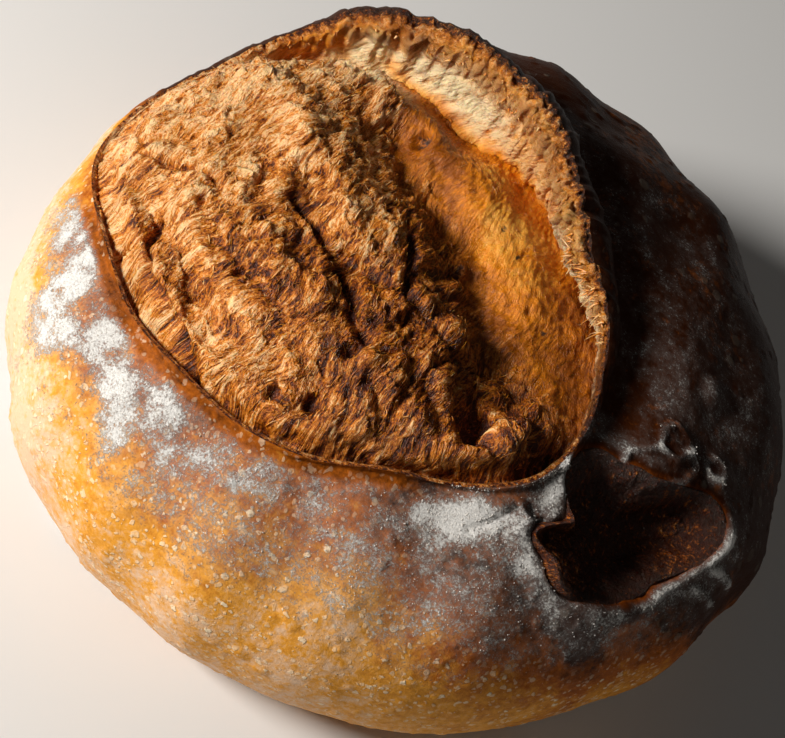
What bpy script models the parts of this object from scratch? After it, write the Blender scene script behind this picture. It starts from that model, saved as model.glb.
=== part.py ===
"""A round sourdough loaf with one long score: torn crumb bulges out of the cut, a flap of crust
stands up along its back as an ear over a hollow, and a second tear opens at the right end.

The loaf is one solid. A UV sphere is the starting primitive: its meridians run round the centre of
the opening, and its parallels become rings that go from the middle of the base, up the side and the
crust, over the ear or the crust's front edge, down the torn wall and across the crumb bed.
Metres, +Z up, origin on the table under the middle of the loaf. +X is the right end of the score.
"""

import math

import bmesh
import bpy
import numpy as np

MM = 0.001

# Driving sizes of the baked dough.
LOAF_RADIUS = 116 * MM
EQUATOR_HEIGHT = 38 * MM
DOME_RISE = 61 * MM
DOME_POWER = 2.25  # above 2 the shoulders are fuller than an ellipse's
BASE_SHARE = 0.80  # radius of the flat base over the loaf's radius
OPENING_CENTRE = (-25 * MM, -9 * MM)

# Shares of the loaf's radius, one for each 30 degrees round its middle, from +X towards +Y.
PLAN_SHARES = (1.02, 1.00, 1.00, 1.01, 0.975, 0.94, 0.995, 1.045, 1.045, 0.99, 0.97, 0.985)

# Sizes round the opening, one for each 30 degrees round its centre, from +X towards +Y.
# The back (30 to 150 degrees) carries the ear, and the front (180 to 330) a thin broken edge.
EDGE_RADIUS = np.array((72.5, 65.5, 67.5, 79, 88, 86, 87, 78, 74, 74, 72, 80.4)) * MM
EAR_RISE = np.array((5, 12, 16, 19, 24, 12, 3, 1.5, 1.5, 1.5, 1.5, 2)) * MM
EAR_LEAN = np.array((4, 11.5, 10, 11, 8, 5, 1, 0.5, 0.5, 0.5, 0.5, 0.5)) * MM
EDGE_THICKNESS = np.array((3, 5, 6, 7, 7.5, 6.5, 3, 1.6, 1.6, 1.6, 1.6, 2)) * MM
WALL_FOOT_RADIUS = np.array((69, 59, 55, 55, 71, 74, 82, 75.6, 71.6, 71.6, 69.6, 77.4)) * MM
WALL_DROP = np.array((5, 5, 6, 7, 7, 4, 3, 3, 3, 3, 3, 3.5)) * MM
# Share of the way from the wall's foot to the centre over which the bed climbs out of the hollow.
HOLLOW_SHARE = (0.72, 0.68, 0.58, 0.38, 0.16, 0.12, 0.09, 0.08, 0.08, 0.08, 0.08, 0.14)
BED_CROWN = 4.5 * MM  # how far the crumb stands over the dome that the crust would have had

# The ear's torn edge wanders: (waves in a turn, phase), and how far as a share of the ear's rise.
RAGGED_WAVES = ((17, 0.6), (23, 2.2), (31, 4.1))
RAGGED_SHARE = 0.04

# Folds of the torn crumb: (x, y) of points along it, half width, height; a negative height is a furrow.
FOLDS = (
    (((-96, 12), (-84, 36)), 9, 3.0),
    (((-78, 18), (-34, -23)), 7, 4.5),
    (((-56, -8), (-30, -32)), 5, -5.0),
    (((-62, -40), (-10, -52)), 15, 3.5),
    (((-92, -32), (-50, -66)), 4, -4.0),
    (((-40, 22), (-25, 9), (-8, 0), (2, -13), (14, -23), (26, -31)), 16, -11.5),
    (((14, -36), (22, -50)), 5, -4.0),
    (((32, -38), (36, -52)), 8, 4.0),
)

# Crags between the folds, as ridged waves: (cycles in x, in y over 100 mm), phase, height.
CRAGS = (((5.2, 1.1), 0.7, 1.3), ((3.1, -4.4), 2.9, 1.2), ((7.4, 2.6), 5.0, 0.8))
CRAG_FADE = 12 * MM  # the crags die out over this distance from the foot of the wall

# The second tear: its middle, and its outline's radius for each 15 degrees from +X towards +Y.
TEAR_CENTRE = (72 * MM, -48 * MM)
TEAR_RADIUS = np.array((
    16.5, 18.5, 26, 39, 39, 29, 23.6, 23, 23.1, 26, 26.5, 24.5,
    21.5, 21, 24, 23.5, 22, 19.5, 16.5, 14.5, 13.9, 13.6, 13.5, 14.5,
)) * MM
TEAR_DEPTH = 11 * MM
TEAR_STEEP = 9 * MM  # the front side reaches the tear's depth over this distance
TEAR_SLOPE = 15 * MM  # and the back side over this one
TEAR_LIP = 1.4 * MM  # the crust curls up this much just outside the outline
TEAR_LIP_WIDTH = 6 * MM

# Blisters in the crust: (x, y), radius, height of the skin.
BLISTERS = (
    ((70, -17), 10.5, 2.2),
    ((88, -7), 5.5, 1.4),
    ((76, 12), 4.5, 1.2),
    ((-62, -86), 5.0, 1.0),
)

# The crust's slow unevenness: waves as (cycles in x, cycles in y over 100 mm, phase), added up.
SWELL_WAVES = ((1.3, 0.6, 0.4), (-0.8, 1.7, 2.1), (2.2, 1.9, 4.0), (1.1, -2.6, 5.2), (3.1, 0.4, 1.3))
SWELL_HEIGHT = 0.55 * MM

# How the sphere's parallels are shared out: (stage, rings), from the middle of the base inwards.
STAGE_RINGS = (("base", 3), ("side", 7), ("crust", 18), ("ear", 5), ("rim", 3), ("wall", 5), ("bed", 18))
MERIDIANS = 100
TEAR_SIDE = math.radians(-20)  # the meridians gather towards the second tear
TEAR_SIDE_GATHER = 0.22


def round_curve(values, angle):
    """Value at an angle of the smooth closed curve through evenly spaced values (cyclic Catmull-Rom)."""
    values = np.asarray(values, float)
    count = len(values)
    place = np.mod(angle, 2 * np.pi) / (2 * np.pi) * count
    whole = np.floor(place).astype(int)
    share = place - whole
    before, start, end, after = (values[(whole + k) % count] for k in (-1, 0, 1, 2))
    slope = end - before
    bend = 2 * before - 5 * start + 4 * end - after
    twist = 3 * (start - end) + after - before
    return start + 0.5 * share * (slope + share * (bend + share * twist))


def smooth_step(value):
    value = np.clip(value, 0, 1)
    return value * value * (3 - 2 * value)


def mix(first, second, share):
    return first + (second - first) * share


def bent(start, middle, end, share):
    """Point on the quadratic curve from start to end that bends towards middle."""
    return mix(mix(start, middle, share), mix(middle, end, share), share)


def stack(x, y, z):
    return np.stack(np.broadcast_arrays(x, y, z), axis=-1)


def plan_radius(angle):
    return LOAF_RADIUS * round_curve(PLAN_SHARES, angle)


def dome_height(x, y):
    """Height of the crust's dome over a point of the plan."""
    reach = np.hypot(x, y) / plan_radius(np.arctan2(y, x))
    return EQUATOR_HEIGHT + DOME_RISE * np.clip(1 - reach**DOME_POWER, 0, 1) ** (1 / DOME_POWER)


def line_distance(x, y, points):
    """Distance from points of the plan to a line through points given in mm."""
    nearest = np.full(np.shape(x), np.inf)
    for start, end in zip(points[:-1], points[1:]):
        start, run = np.array(start) * MM, (np.array(end) - start) * MM
        along = np.clip(((x - start[0]) * run[0] + (y - start[1]) * run[1]) / (run @ run), 0, 1)
        nearest = np.minimum(nearest, np.hypot(x - start[0] - along * run[0], y - start[1] - along * run[1]))
    return nearest


def fold_height(x, y):
    """Height that the large folds and furrows of the torn crumb add."""
    return sum(
        height * MM * np.exp(-((line_distance(x, y, points) / (half_width * MM)) ** 2))
        for points, half_width, height in FOLDS
    )


def crag_height(x, y):
    """Height of the crags, sharp at the top and round between them."""
    turns = 2 * np.pi / 0.1
    return sum(
        height * MM * (0.6 - np.abs(np.sin(turns * (a * x + b * y) / 2 + phase)))
        for (a, b), phase, height in CRAGS
    )


def swell(x, y):
    """Slow unevenness of the crust."""
    turns = 2 * np.pi / 0.1
    return SWELL_HEIGHT * sum(np.sin(turns * (a * x + b * y) + phase) for a, b, phase in SWELL_WAVES)


def tear_relief(x, y):
    """Depth of the second tear and the lip that its crust curls up into."""
    dx, dy = x - TEAR_CENTRE[0], y - TEAR_CENTRE[1]
    inside = round_curve(TEAR_RADIUS, np.arctan2(dy, dx)) - np.hypot(dx, dy)
    front = smooth_step(0.5 - dy / (20 * MM))
    depth = TEAR_DEPTH * smooth_step(inside / mix(TEAR_SLOPE, TEAR_STEEP, front))
    lip = TEAR_LIP * front * np.exp(-(((inside + 0.5 * TEAR_LIP_WIDTH) / (0.5 * TEAR_LIP_WIDTH)) ** 2))
    return lip - depth


def blister_relief(x, y):
    total = 0.0
    for (x0, y0), radius, height in BLISTERS:
        away = np.hypot(x - x0 * MM, y - y0 * MM) / (radius * MM)
        total = total + height * MM * np.exp(-(away**4))
    return total


def crust_point(x, y, z):
    """Moves points of the plain dome out along its normal by the crust's relief."""
    normal = stack(x / LOAF_RADIUS**2, y / LOAF_RADIUS**2, (z - EQUATOR_HEIGHT) / DOME_RISE**2)
    normal = normal / np.linalg.norm(normal, axis=-1, keepdims=True)
    relief = swell(x, y) + tear_relief(x, y) + blister_relief(x, y)
    return stack(x, y, z) + normal * relief[..., None]


class Sections:
    """The loaf's sections at the angles round the opening: the points that its stages run between."""

    def __init__(self, angles):
        self.angles = angles
        rise = round_curve(EAR_RISE, angles)
        lean = round_curve(EAR_LEAN, angles)
        thickness = round_curve(EDGE_THICKNESS, angles)
        ragged = RAGGED_SHARE * sum(np.sin(waves * angles + phase) for waves, phase in RAGGED_WAVES)
        self.edge = round_curve(EDGE_RADIUS, angles)
        x, y = self.plan(self.edge)
        self.crease = crust_point(x, y, dome_height(x, y))
        self.ridge = self.over(self.edge - lean * (1 - ragged), self.crease[:, 2] + rise * (1 + ragged))
        rim_radius = self.edge - lean - thickness
        self.rim = self.over(rim_radius, self.ridge[:, 2] - 0.35 * thickness)
        self.foot_radius = round_curve(WALL_FOOT_RADIUS, angles)
        self.foot = self.over(self.foot_radius, self.crease[:, 2] - round_curve(WALL_DROP, angles))
        self.hollow = round_curve(HOLLOW_SHARE, angles)

    def plan(self, radius):
        """The x and y of the points at a radius round the opening's centre."""
        return (
            OPENING_CENTRE[0] + radius * np.cos(self.angles),
            OPENING_CENTRE[1] + radius * np.sin(self.angles),
        )

    def over(self, radius, height):
        return stack(*self.plan(radius), height)

    def outline(self):
        """The x and y of the loaf's plan outline, where each section's crust starts."""
        radius = plan_radius(self.angles)
        return radius * np.cos(self.angles), radius * np.sin(self.angles)

    def base(self, share):
        x, y = self.outline()
        return stack(x * BASE_SHARE * share, y * BASE_SHARE * share, 0.0)

    def side(self, share):
        turn = share * math.pi / 2
        reach = BASE_SHARE + (1 - BASE_SHARE) * math.sin(turn)
        x, y = self.outline()
        plain = stack(x * reach, y * reach, EQUATOR_HEIGHT * (1 - math.cos(turn)))
        equator = stack(x, y, EQUATOR_HEIGHT)
        return plain + smooth_step(share) * (crust_point(x, y, EQUATOR_HEIGHT) - equator)

    def crust(self, share):
        inward = 1 - math.cos(share * math.pi / 2) ** (2 / DOME_POWER) if share < 1 else 1.0
        x, y = (mix(*ends, inward) for ends in zip(self.outline(), self.plan(self.edge)))
        return crust_point(x, y, dome_height(x, y))

    def ear(self, share):
        plan = mix(self.crease, self.ridge, 0.2)
        corner = stack(plan[:, 0], plan[:, 1], mix(self.crease, self.ridge, 0.8)[:, 2])
        return bent(self.crease, corner, self.ridge, share)

    def rim_top(self, share):
        crown = mix(self.ridge, self.rim, 0.5)
        crown[:, 2] += 0.4 * (self.ridge - self.rim)[:, 2]
        return bent(self.ridge, crown, self.rim, share)

    def wall(self, share):
        corner = self.rim.copy()
        corner[:, 2] = mix(self.rim, self.foot, 0.75)[:, 2]
        return bent(self.rim, corner, self.foot, share)

    def bed(self, share):
        radius = self.foot_radius * (1 - share)
        x, y = self.plan(radius)
        crags = crag_height(x, y) * smooth_step((self.foot_radius - radius) / CRAG_FADE)
        crumb = dome_height(x, y) + BED_CROWN + fold_height(x, y) + crags
        sunk = mix(self.foot[:, 2], crumb, 0.25 * share)
        return stack(x, y, mix(sunk, crumb, smooth_step(share / self.hollow)))


def loaf_rings(angles):
    """The points of every parallel between the sphere's two poles, from the base to the bed."""
    sections = Sections(angles)
    makers = {
        "base": sections.base,
        "side": sections.side,
        "crust": sections.crust,
        "ear": sections.ear,
        "rim": sections.rim_top,
        "wall": sections.wall,
        "bed": sections.bed,
    }
    return [makers[stage]((ring + 1) / count) for stage, count in STAGE_RINGS for ring in range(count)]


def meridian_angles():
    turns = 2 * np.pi * np.arange(MERIDIANS) / MERIDIANS
    return turns - TEAR_SIDE_GATHER * np.sin(turns - TEAR_SIDE)


def shape_loaf(mesh_editor, rings):
    """Moves each vertex of the UV sphere to its place on the loaf."""
    for vertex in mesh_editor.verts:
        latitude = math.asin(max(-1.0, min(1.0, vertex.co.z)))
        ring = round((latitude / math.pi + 0.5) * len(rings))
        if ring == 0:
            vertex.co = (0, 0, 0)
            continue
        meridian = round(math.atan2(vertex.co.y, vertex.co.x) / (2 * math.pi) * MERIDIANS) % MERIDIANS
        vertex.co = rings[ring - 1][meridian]


def crust_material():
    material = bpy.data.materials.new("baked_crust")
    material.use_nodes = True
    shader = material.node_tree.nodes["Principled BSDF"]
    shader.inputs["Base Color"].default_value = (0.46, 0.22, 0.075, 1)
    shader.inputs["Roughness"].default_value = 0.6
    shader.inputs["Metallic"].default_value = 0.0
    return material


def build_loaf(collection):
    rings = loaf_rings(meridian_angles())
    mesh_editor = bmesh.new()
    bmesh.ops.create_uvsphere(mesh_editor, u_segments=MERIDIANS, v_segments=len(rings), radius=1)
    shape_loaf(mesh_editor, rings)
    bmesh.ops.triangulate(mesh_editor, faces=mesh_editor.faces)
    bmesh.ops.recalc_face_normals(mesh_editor, faces=mesh_editor.faces)
    mesh = bpy.data.meshes.new("sourdough_loaf")
    mesh_editor.to_mesh(mesh)
    mesh_editor.free()
    mesh.shade_smooth()
    mesh.materials.append(crust_material())
    loaf = bpy.data.objects.new("sourdough_loaf", mesh)
    collection.objects.link(loaf)


def main():
    for old in list(bpy.data.objects):
        bpy.data.objects.remove(old)
    collection = bpy.data.collections.new("sourdough_loaf")
    bpy.context.scene.collection.children.link(collection)
    build_loaf(collection)


main()
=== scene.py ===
"""Dresses the sourdough loaf: a floured, blistered crust, an ear of crust with a charred torn edge,
a golden crumb of strands and flakes that bulges from the score, and a second tear at its right end.

Metres, +Z up, origin on the table under the loaf's middle. +X is the right end of the score.
The form's functions and sizes are those of the loaf's solid, with finer relief added.
"""

import math

import bpy
import numpy as np
from bpy.props import FloatProperty, FloatVectorProperty, IntProperty, PointerProperty
from mathutils import Matrix, Vector


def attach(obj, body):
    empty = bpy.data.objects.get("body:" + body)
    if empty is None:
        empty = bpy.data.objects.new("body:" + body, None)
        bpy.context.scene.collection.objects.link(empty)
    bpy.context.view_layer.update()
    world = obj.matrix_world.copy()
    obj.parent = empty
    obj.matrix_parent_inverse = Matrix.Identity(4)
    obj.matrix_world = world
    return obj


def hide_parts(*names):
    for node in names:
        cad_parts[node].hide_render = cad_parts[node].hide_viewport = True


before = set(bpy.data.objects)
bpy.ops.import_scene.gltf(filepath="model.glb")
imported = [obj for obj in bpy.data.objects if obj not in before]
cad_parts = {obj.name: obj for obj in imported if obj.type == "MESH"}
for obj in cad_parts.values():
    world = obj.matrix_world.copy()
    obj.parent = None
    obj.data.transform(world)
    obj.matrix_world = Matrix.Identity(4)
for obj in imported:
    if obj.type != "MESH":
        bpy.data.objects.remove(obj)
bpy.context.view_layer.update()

bl_info = {
    "name": "Sourdough Loaf",
    "version": (1, 0, 0),
    "blender": (4, 5, 0),
    "location": "3D View > Sidebar > Loaf",
    "description": "Crust, torn crumb, ear and flour of a round sourdough loaf",
    "category": "Object",
}

MM = 0.001
NODE = "sourdough_loaf"
BODY = "root"

# The form, as in the loaf's solid. Sizes round the opening are one for each 30 degrees from +X to +Y.
DOME_POWER = 2.25
BASE_SHARE = 0.80
OPENING_CENTRE = (-25 * MM, -9 * MM)
PLAN_SHARES = (1.02, 1.00, 1.00, 1.01, 0.975, 0.94, 0.995, 1.045, 1.045, 0.99, 0.97, 0.985)
EDGE_RADIUS = np.array((72.5, 65.5, 67.5, 79, 88, 86, 87, 78, 74, 74, 72, 80.4)) * MM
EAR_RISE = np.array((5, 12, 16, 19, 24, 12, 3, 1.5, 1.5, 1.5, 1.5, 2)) * MM
EAR_LEAN = np.array((4, 11.5, 10, 11, 8, 5, 1, 0.5, 0.5, 0.5, 0.5, 0.5)) * MM
EDGE_THICKNESS = np.array((1.6, 5, 6, 7, 6, 1.6, 1.2, 1.4, 1.5, 1.5, 1.5, 1.5)) * MM
WALL_FOOT_RADIUS = np.array((70, 59, 55, 55, 72, 79, 84.4, 75.8, 71.7, 71.7, 69.8, 77.8)) * MM
WALL_DROP = np.array((4, 5, 5.5, 3.5, -6, -11.3, -2.5, 1.5, 3, 3, 3, 3)) * MM
HOLLOW_SHARE = (0.72, 0.68, 0.58, 0.42, 0.28, 0.14, 0.09, 0.08, 0.08, 0.08, 0.08, 0.14)
FOLDS = (
    (((-96, 12), (-84, 36)), 9, 3.0),
    (((-78, 18), (-34, -23)), 7, 4.5),
    (((-56, -8), (-30, -32)), 5, -5.0),
    (((-62, -40), (-10, -52)), 15, 3.5),
    (((-92, -32), (-50, -66)), 4, -4.0),
    (((-40, 24), (-24, 11), (-6, 2), (4, -11), (15, -21), (26, -30)), 13.5, -12),
    (((14, -36), (22, -50)), 5, -4.0),
    (((32, -38), (36, -52)), 8, 4.0),
)
CRAGS = (((5.2, 1.1), 0.7, 1.3), ((3.1, -4.4), 2.9, 1.2), ((7.4, 2.6), 5.0, 0.8))
CRAG_FADE = 12 * MM
TEAR_CENTRE = (72 * MM, -48 * MM)
TEAR_RADIUS = np.array((
    16.5, 18.5, 26, 39, 39, 29, 23.6, 23, 23.1, 26, 26.5, 24.5,
    19.5, 17, 27, 23.5, 22, 19.5, 16.5, 14.5, 13.9, 13.6, 13.5, 14.5,
)) * MM  # one for each 15 degrees
TEAR_STEEP = 9 * MM
TEAR_SLOPE = 15 * MM
TEAR_LIP = 1.4 * MM
TEAR_LIP_WIDTH = 6 * MM
BLISTERS = (((70, -17), 10.5, 2.2), ((88, -7), 5.5, 1.4), ((76, 12), 4.5, 1.2), ((-62, -86), 5.0, 1.0))
SWELL_WAVES = ((1.3, 0.6, 0.4), (-0.8, 1.7, 2.1), (2.2, 1.9, 4.0), (1.1, -2.6, 5.2), (3.1, 0.4, 1.3))
SWELL_HEIGHT = 0.55 * MM
WAVE_TURN = 2 * math.pi / 0.1  # radians a metre at one wave in 100 mm, for the swell and the crags
RIM_DROP = 0.35  # how far the rim's inner side lies below its top, as a share of its thickness
BED_DROP = 0.35  # how far the hollow falls as it runs in under the edge, as a share of its reach

# Finer shape of the opening: how far the hollow runs in under the edge, and the edge's notches.
UNDERCUT = np.array((2, 5, 2.5, 1, 1, 0.5, 0.5, 1, 1, 1, 1, 1)) * MM
NOTCHES = ((14, 1.6, 41), (5.5, 1.9, 42), (2.4, 1.2, 43))  # mm: size, depth, seed
NOTCH_RADIUS = 80  # mm, of the circle that the notches' noise runs round

# Plan lines and places in mm.
SPINE = ((-54, -15), (-47, -24), (-37, -31), (-26, -38), (-18, -45), (-13, -49))
HOLLOW_EDGE = (
    (-70, 70), (-45, 36), (-37, 16), (-25, 10), (-8, 1),
    (2, -12), (14, -22), (30, -28), (40, -34), (60, -40),
)
LIP_CRACK = ((-80, -41), (-79, -48), (-75, -57), (-67, -62), (-58, -68), (-44, -78), (-31, -82), (-18, -83))
BLISTER_RIM = (
    (61, -25), (62, -29), (68, -31), (75, -27), (80, -20),
    (81, -13), (77, -11), (75, -17), (69, -18), (61, -25),
)
# Narrow cracks in the crumb: points, half width, depth.
CREVICES = (
    (LIP_CRACK, 1.0, 3.0),
    (((-95, -22), (-87, -23), (-76, -23), (-71, -27)), 1.3, 2.5),
    (((-63, -45), (-53, -38), (-44, -31)), 1.4, 3.0),
    (((-52, -20), (-44, -24), (-39, -28), (-27, -37), (-20, -47), (-15, -49)), 1.5, 3.5),
    (((-20, -11), (-16, -20), (-13, -28)), 1.6, 3.0),
    (((-33, -28), (-25, -30), (-15, -30), (-5, -31)), 1.5, 1.8),
    (((13, -40), (20, -45), (22, -54)), 2.0, 3.0),
    (((33, -40), (40, -44), (44, -50)), 1.0, 2.0),
)
# Pits left by gas bubbles: place, radius, depth.
PITS = (
    ((-17, -54), 2.4, 3.5),
    ((-28, -73), 1.6, 2.2),
    ((-18, -70), 1.7, 2.5),
    ((-53, -50), 1.3, 2.0),
    ((-73, -34), 1.4, 2.2),
    ((-85, -52), 1.8, 2.5),
    ((23, -46), 3.0, 4.0),
    ((-34, 30), 2.4, 3.5),
    ((-9, -36), 2.0, 2.5),
)
SPECKS = ((0, 14, 0.8), (8, 8, 1.1), (25, -8, 1.0), (-34, 30, 2.2))  # dark specks: x, y, radius
# Raised lips of the second tear, rims of a burst blister, and cracks: plan line, half width, height.
CRUST_RIDGES = (
    (((100, -29), (110, -22)), 1.0, 0.9),
    (((98, -36), (106, -32), (114, -27)), 1.0, 0.9),
    (BLISTER_RIM, 0.9, 1.3),
    (((69, -18), (67, -12), (70, -7), (76, -8), (77, -13)), 0.9, 1.0),
    (((83, -9), (86, -12), (90, -10), (89, -6), (85, -5), (83, -9)), 1.0, 0.9),
    (((47, -40), (49, -45), (54, -49), (59, -50.5)), 1.6, 1.2),
    (((43, -59), (39, -66), (35, -71)), 0.8, -1.2),
    (((46, -56), (50, -57), (57, -56)), 1.2, -1.8),
    (((50, -57), (55, -60), (60, -63)), 2.2, -1.8),
)
# Heaps of flour on the crust: x, y, radius, amount.
FLOUR_HEAPS = (
    (-104, -36, 7, 0.8), (-98, -50, 8, 1.05), (-90, -57, 7, 1.0), (-92, -66, 7, 1.0), (-86, -76, 7, 0.7),
    (-71, -70, 6, 0.9), (-73, -76, 6, 0.85), (-66, -82, 6, 0.95), (-60, -88, 7, 0.95), (-51, -85, 7, 0.95),
    (-56, -97, 5, 0.4), (-43, -97, 7, 0.6), (-34, -91, 6, 0.65), (-25, -96, 7, 0.55), (-16, -90, 8, 0.65),
    (-4, -90, 8, 0.55), (8, -91, 8, 0.5), (17, -78, 8, 0.5), (27, -72, 8, 0.75), (37, -68, 8, 0.95),
    (28, -84, 7, 0.4), (53, -69, 6, 0.8), (48, -60, 7, 0.9), (54, -48, 8, 1.3), (-99, -26, 6, 0.5),
)
# Creases at the crust's foot: direction and width in degrees, height and depth in mm.
BASE_CREASES = ((-80, 2.0, 12, 1.6), (-62, 1.6, 10, 1.8), (-118, 2.0, 8, 1.0), (-150, 3, 9, 0.8))
# Places where the crust is made darker or paler: plan place, reach each way, amount. The first two are
# painted shade at the front right; the last is paler crust.
BAKE_AND_SHADE_PATCHES = (((72, -68), (13, 6), 0.45), ((48, -82), (28, 18), 0.34), ((100, -50), (20, 20), -0.2))

# Parts of the torn edge in degrees round the opening: start, full from, full to, end.
LEFT_EDGE = (120, 150, 185, 205)
BARE_SLAB = (108, 116, 136, 146)
# The right corner's rim is painted dark there as painted shade.
RIGHT_CORNER = 350
EDGE_SPAN = 75  # mm along the edge for each radian

# Mesh sizes: rings in each stage, meridians round the loaf, cells along a side of the rounded grids,
# and rings and corners of the strands' tubes.
CRUST_RINGS = (("base", 8), ("side", 46), ("crust", 86), ("ear", 14))
CRUST_MERIDIANS = 620
CLOSER_SHARE = 0.36  # how much closer together the meridians run towards the second tear
CLOSER_TOWARDS = math.radians(-25)
WALL_RINGS = (("rim", 12), ("wall", 28), ("under", 6))
BED_CELLS = 300
TEAR_CELLS = 150
STRAND_RINGS = 6
FRINGE_RINGS = 7
STRAND_SEED = 12
FRINGE_SEED = 5
FLOUR_SEED = 8
TUBE_CORNERS = 4
CRUMB_LEVEL = 90 * MM  # height taken where only a place's x and y matter
LOOSE_SHARE = 0.55  # share of strands and flakes with a free tip, where the others arch
THINNEST = 0.06 * MM

LOOSE_KINDS = (  # name, lengths and half widths in mm, flatness, share in the hollow, reach of a free tip
    ("gluten_strands", (1.6, 6.5), (0.05, 0.11), 1.0, 0.45, 0.9),
    ("torn_flakes", (1.2, 3.4), (0.16, 0.44), 0.25, 0.0, 1.2),
)
# Corners of a clump of flour: four round its middle, then its top and bottom.
GRAIN_CORNERS = np.array(((1, 0, 0), (0, 1, 0), (-1, 0, 0), (0, -1, 0), (0, 0, 1), (0, 0, -1)))

SUBSURFACE_TINT = (1.0, 0.45, 0.15)
GRAIN_SHADE = (0.55, 0.5, 0.44)
WORLD_TINT = (1.0, 0.97, 0.92, 1)
CAMERA_TARGET = (-0.005, -0.013, 0.047)
CAMERA_LENS = 100
CAMERA_SENSOR = 36
FLOOR_SIZE = 6
LIGHT_DISTANCE = 1.1
LIGHTS = (  # name, direction from the loaf, size, power, colour
    ("key", (-0.78, -0.38, 0.50), 0.36, 17.2, (1.0, 0.96, 0.90)),
    ("fill", (0.6, -0.5, 0.9), 1.2, 0.42, (1.0, 0.96, 0.88)),
)
WORLD_STRENGTH = 0.03


def length_property(name, description, value):
    return FloatProperty(name=name, description=description, default=value, unit="LENGTH")


def count_property(name, description, value):
    return IntProperty(name=name, description=description, default=value)


def angle_property(name, description, degrees):
    return FloatProperty(name=name, description=description, default=math.radians(degrees), subtype="ANGLE")


def colour_property(name, description, value):
    return FloatVectorProperty(
        name=name, description=description, default=value, subtype="COLOR", size=3, min=0.0, max=1.0
    )


class LoafSizes(bpy.types.PropertyGroup):
    """Sizes of the loaf's form and relief, and how the picture is set up."""

    radius: length_property("Radius", "Mean radius of the loaf's plan", 0.116)
    equator: length_property("Equator", "Height of the loaf's widest line", 0.038)
    dome: length_property("Dome", "Height of the dome over its widest line", 0.061)
    crown: length_property("Crumb crown", "How far the crumb stands over the dome", 0.0045)
    tear_depth: length_property("Second tear", "Depth of the second tear", 0.011)
    strand_relief: length_property("Strand relief", "Height of the crumb's strands", 0.00045)
    flake_relief: length_property("Flake relief", "Height of the crumb's torn flakes", 0.0016)
    strand_count: count_property("Loose strands", "How many strands stand off the crumb", 4400)
    flake_count: count_property("Loose flakes", "How many flakes stand off the crumb", 2300)
    fringe_count: count_property("Fringe wisps", "How many wisps hang from the ear's edge", 300)
    grain_count: count_property("Flour grains", "How many clumps of flour lie on the crust", 5200)
    camera_elevation: angle_property("Camera elevation", "Angle of the camera above the table", 54)
    camera_roll: angle_property("Camera roll", "Turn of the camera to the left", 33)
    camera_distance: length_property("Camera distance", "Distance of the camera from the loaf", 0.64)


class LoafColours(bpy.types.PropertyGroup):
    """Colours of the crust, crumb and flour."""

    crust_pale: colour_property("Pale crust", "Least baked crust, near the base", (0.76, 0.50, 0.32))
    crust_gold: colour_property("Golden crust", "Golden side crust", (0.75, 0.325, 0.038))
    crust_brown: colour_property("Brown crust", "Upper crust by the score", (0.37, 0.092, 0.007))
    crust_dark: colour_property("Dark crust", "Darkest crust on the dome", (0.042, 0.010, 0.002))
    blister: colour_property("Blister", "Small pale blisters of the crust", (0.88, 0.72, 0.50))
    film: colour_property("Flour film", "Blistered film of flour on the dark dome", (0.20, 0.16, 0.12))
    flour: colour_property("Flour", "Flour baked onto the crust", (0.86, 0.84, 0.81))
    char: colour_property("Charred edge", "Edge of the ear", (0.045, 0.018, 0.010))
    crumb_cream: colour_property("Crumb cream", "Palest tips of the crumb", (1.0, 0.61, 0.29))
    crumb_pale: colour_property("Pale crumb", "Unbaked crumb on the ear's inner wall", (1.0, 0.78, 0.46))
    crumb_gold: colour_property("Crumb gold", "Main colour of the torn crumb", (0.74, 0.235, 0.014))
    crumb_brown: colour_property("Crumb brown", "Toasted crumb", (0.33, 0.075, 0.005))
    # The darkest crumb colour, which paints the shade at the bottom of the cracks and gaps.
    crumb_deep: colour_property("Crumb depths", "Bottom of the crumb's cracks", (0.06, 0.009, 0.001))
    hollow: colour_property("Hollow", "Smooth crumb in the hollow under the ear", (0.74, 0.225, 0.004))
    hollow_dark: colour_property("Dark hollow", "Darkest clouds of the hollow", (0.30, 0.075, 0.002))
    hollow_light: colour_property("Light hollow", "Lightest clouds of the hollow", (0.88, 0.44, 0.07))
    floor: colour_property("Floor", "The pale floor", (0.82, 0.82, 0.82))


def round_curve(values, angle):
    """Value at an angle of the smooth closed curve through evenly spaced values (cyclic Catmull-Rom)."""
    values = np.asarray(values, float)
    count = len(values)
    place = np.mod(angle, 2 * np.pi) / (2 * np.pi) * count
    whole = np.floor(place).astype(int)
    share = place - whole
    before, start, end, after = (values[(whole + k) % count] for k in (-1, 0, 1, 2))
    slope = end - before
    bend = 2 * before - 5 * start + 4 * end - after
    twist = 3 * (start - end) + after - before
    return start + 0.5 * share * (slope + share * (bend + share * twist))


def smooth_step(value):
    value = np.clip(value, 0, 1)
    return value * value * (3 - 2 * value)


def between(low, high, value):
    """0 below low, 1 above high, smooth between them; high may be the smaller number."""
    return smooth_step((value - low) / (high - low))


def window(value, start, full, still, end):
    """1 from full to still, 0 before start and after end, smooth between them."""
    return between(start, full, value) * between(end, still, value)


def bell(value):
    """1 at 0, falling smoothly to near 0 by 2 on both sides."""
    return np.exp(-(value**2))


def oval(x, y, place, reach):
    """Bell over the plan: 1 at its place, with a reach each way."""
    return bell((x - place[0]) / reach[0]) * bell((y - place[1]) / reach[1])


def mix(first, second, share):
    return first + (second - first) * share


def bent(start, middle, end, share):
    """Point on the quadratic curve from start to end that bends towards middle."""
    return mix(mix(start, middle, share), mix(middle, end, share), share)


def polar(centre, radius, angle):
    """The x and y of points at a radius and angle round a centre."""
    return centre[0] + radius * np.cos(angle), centre[1] + radius * np.sin(angle)


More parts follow.
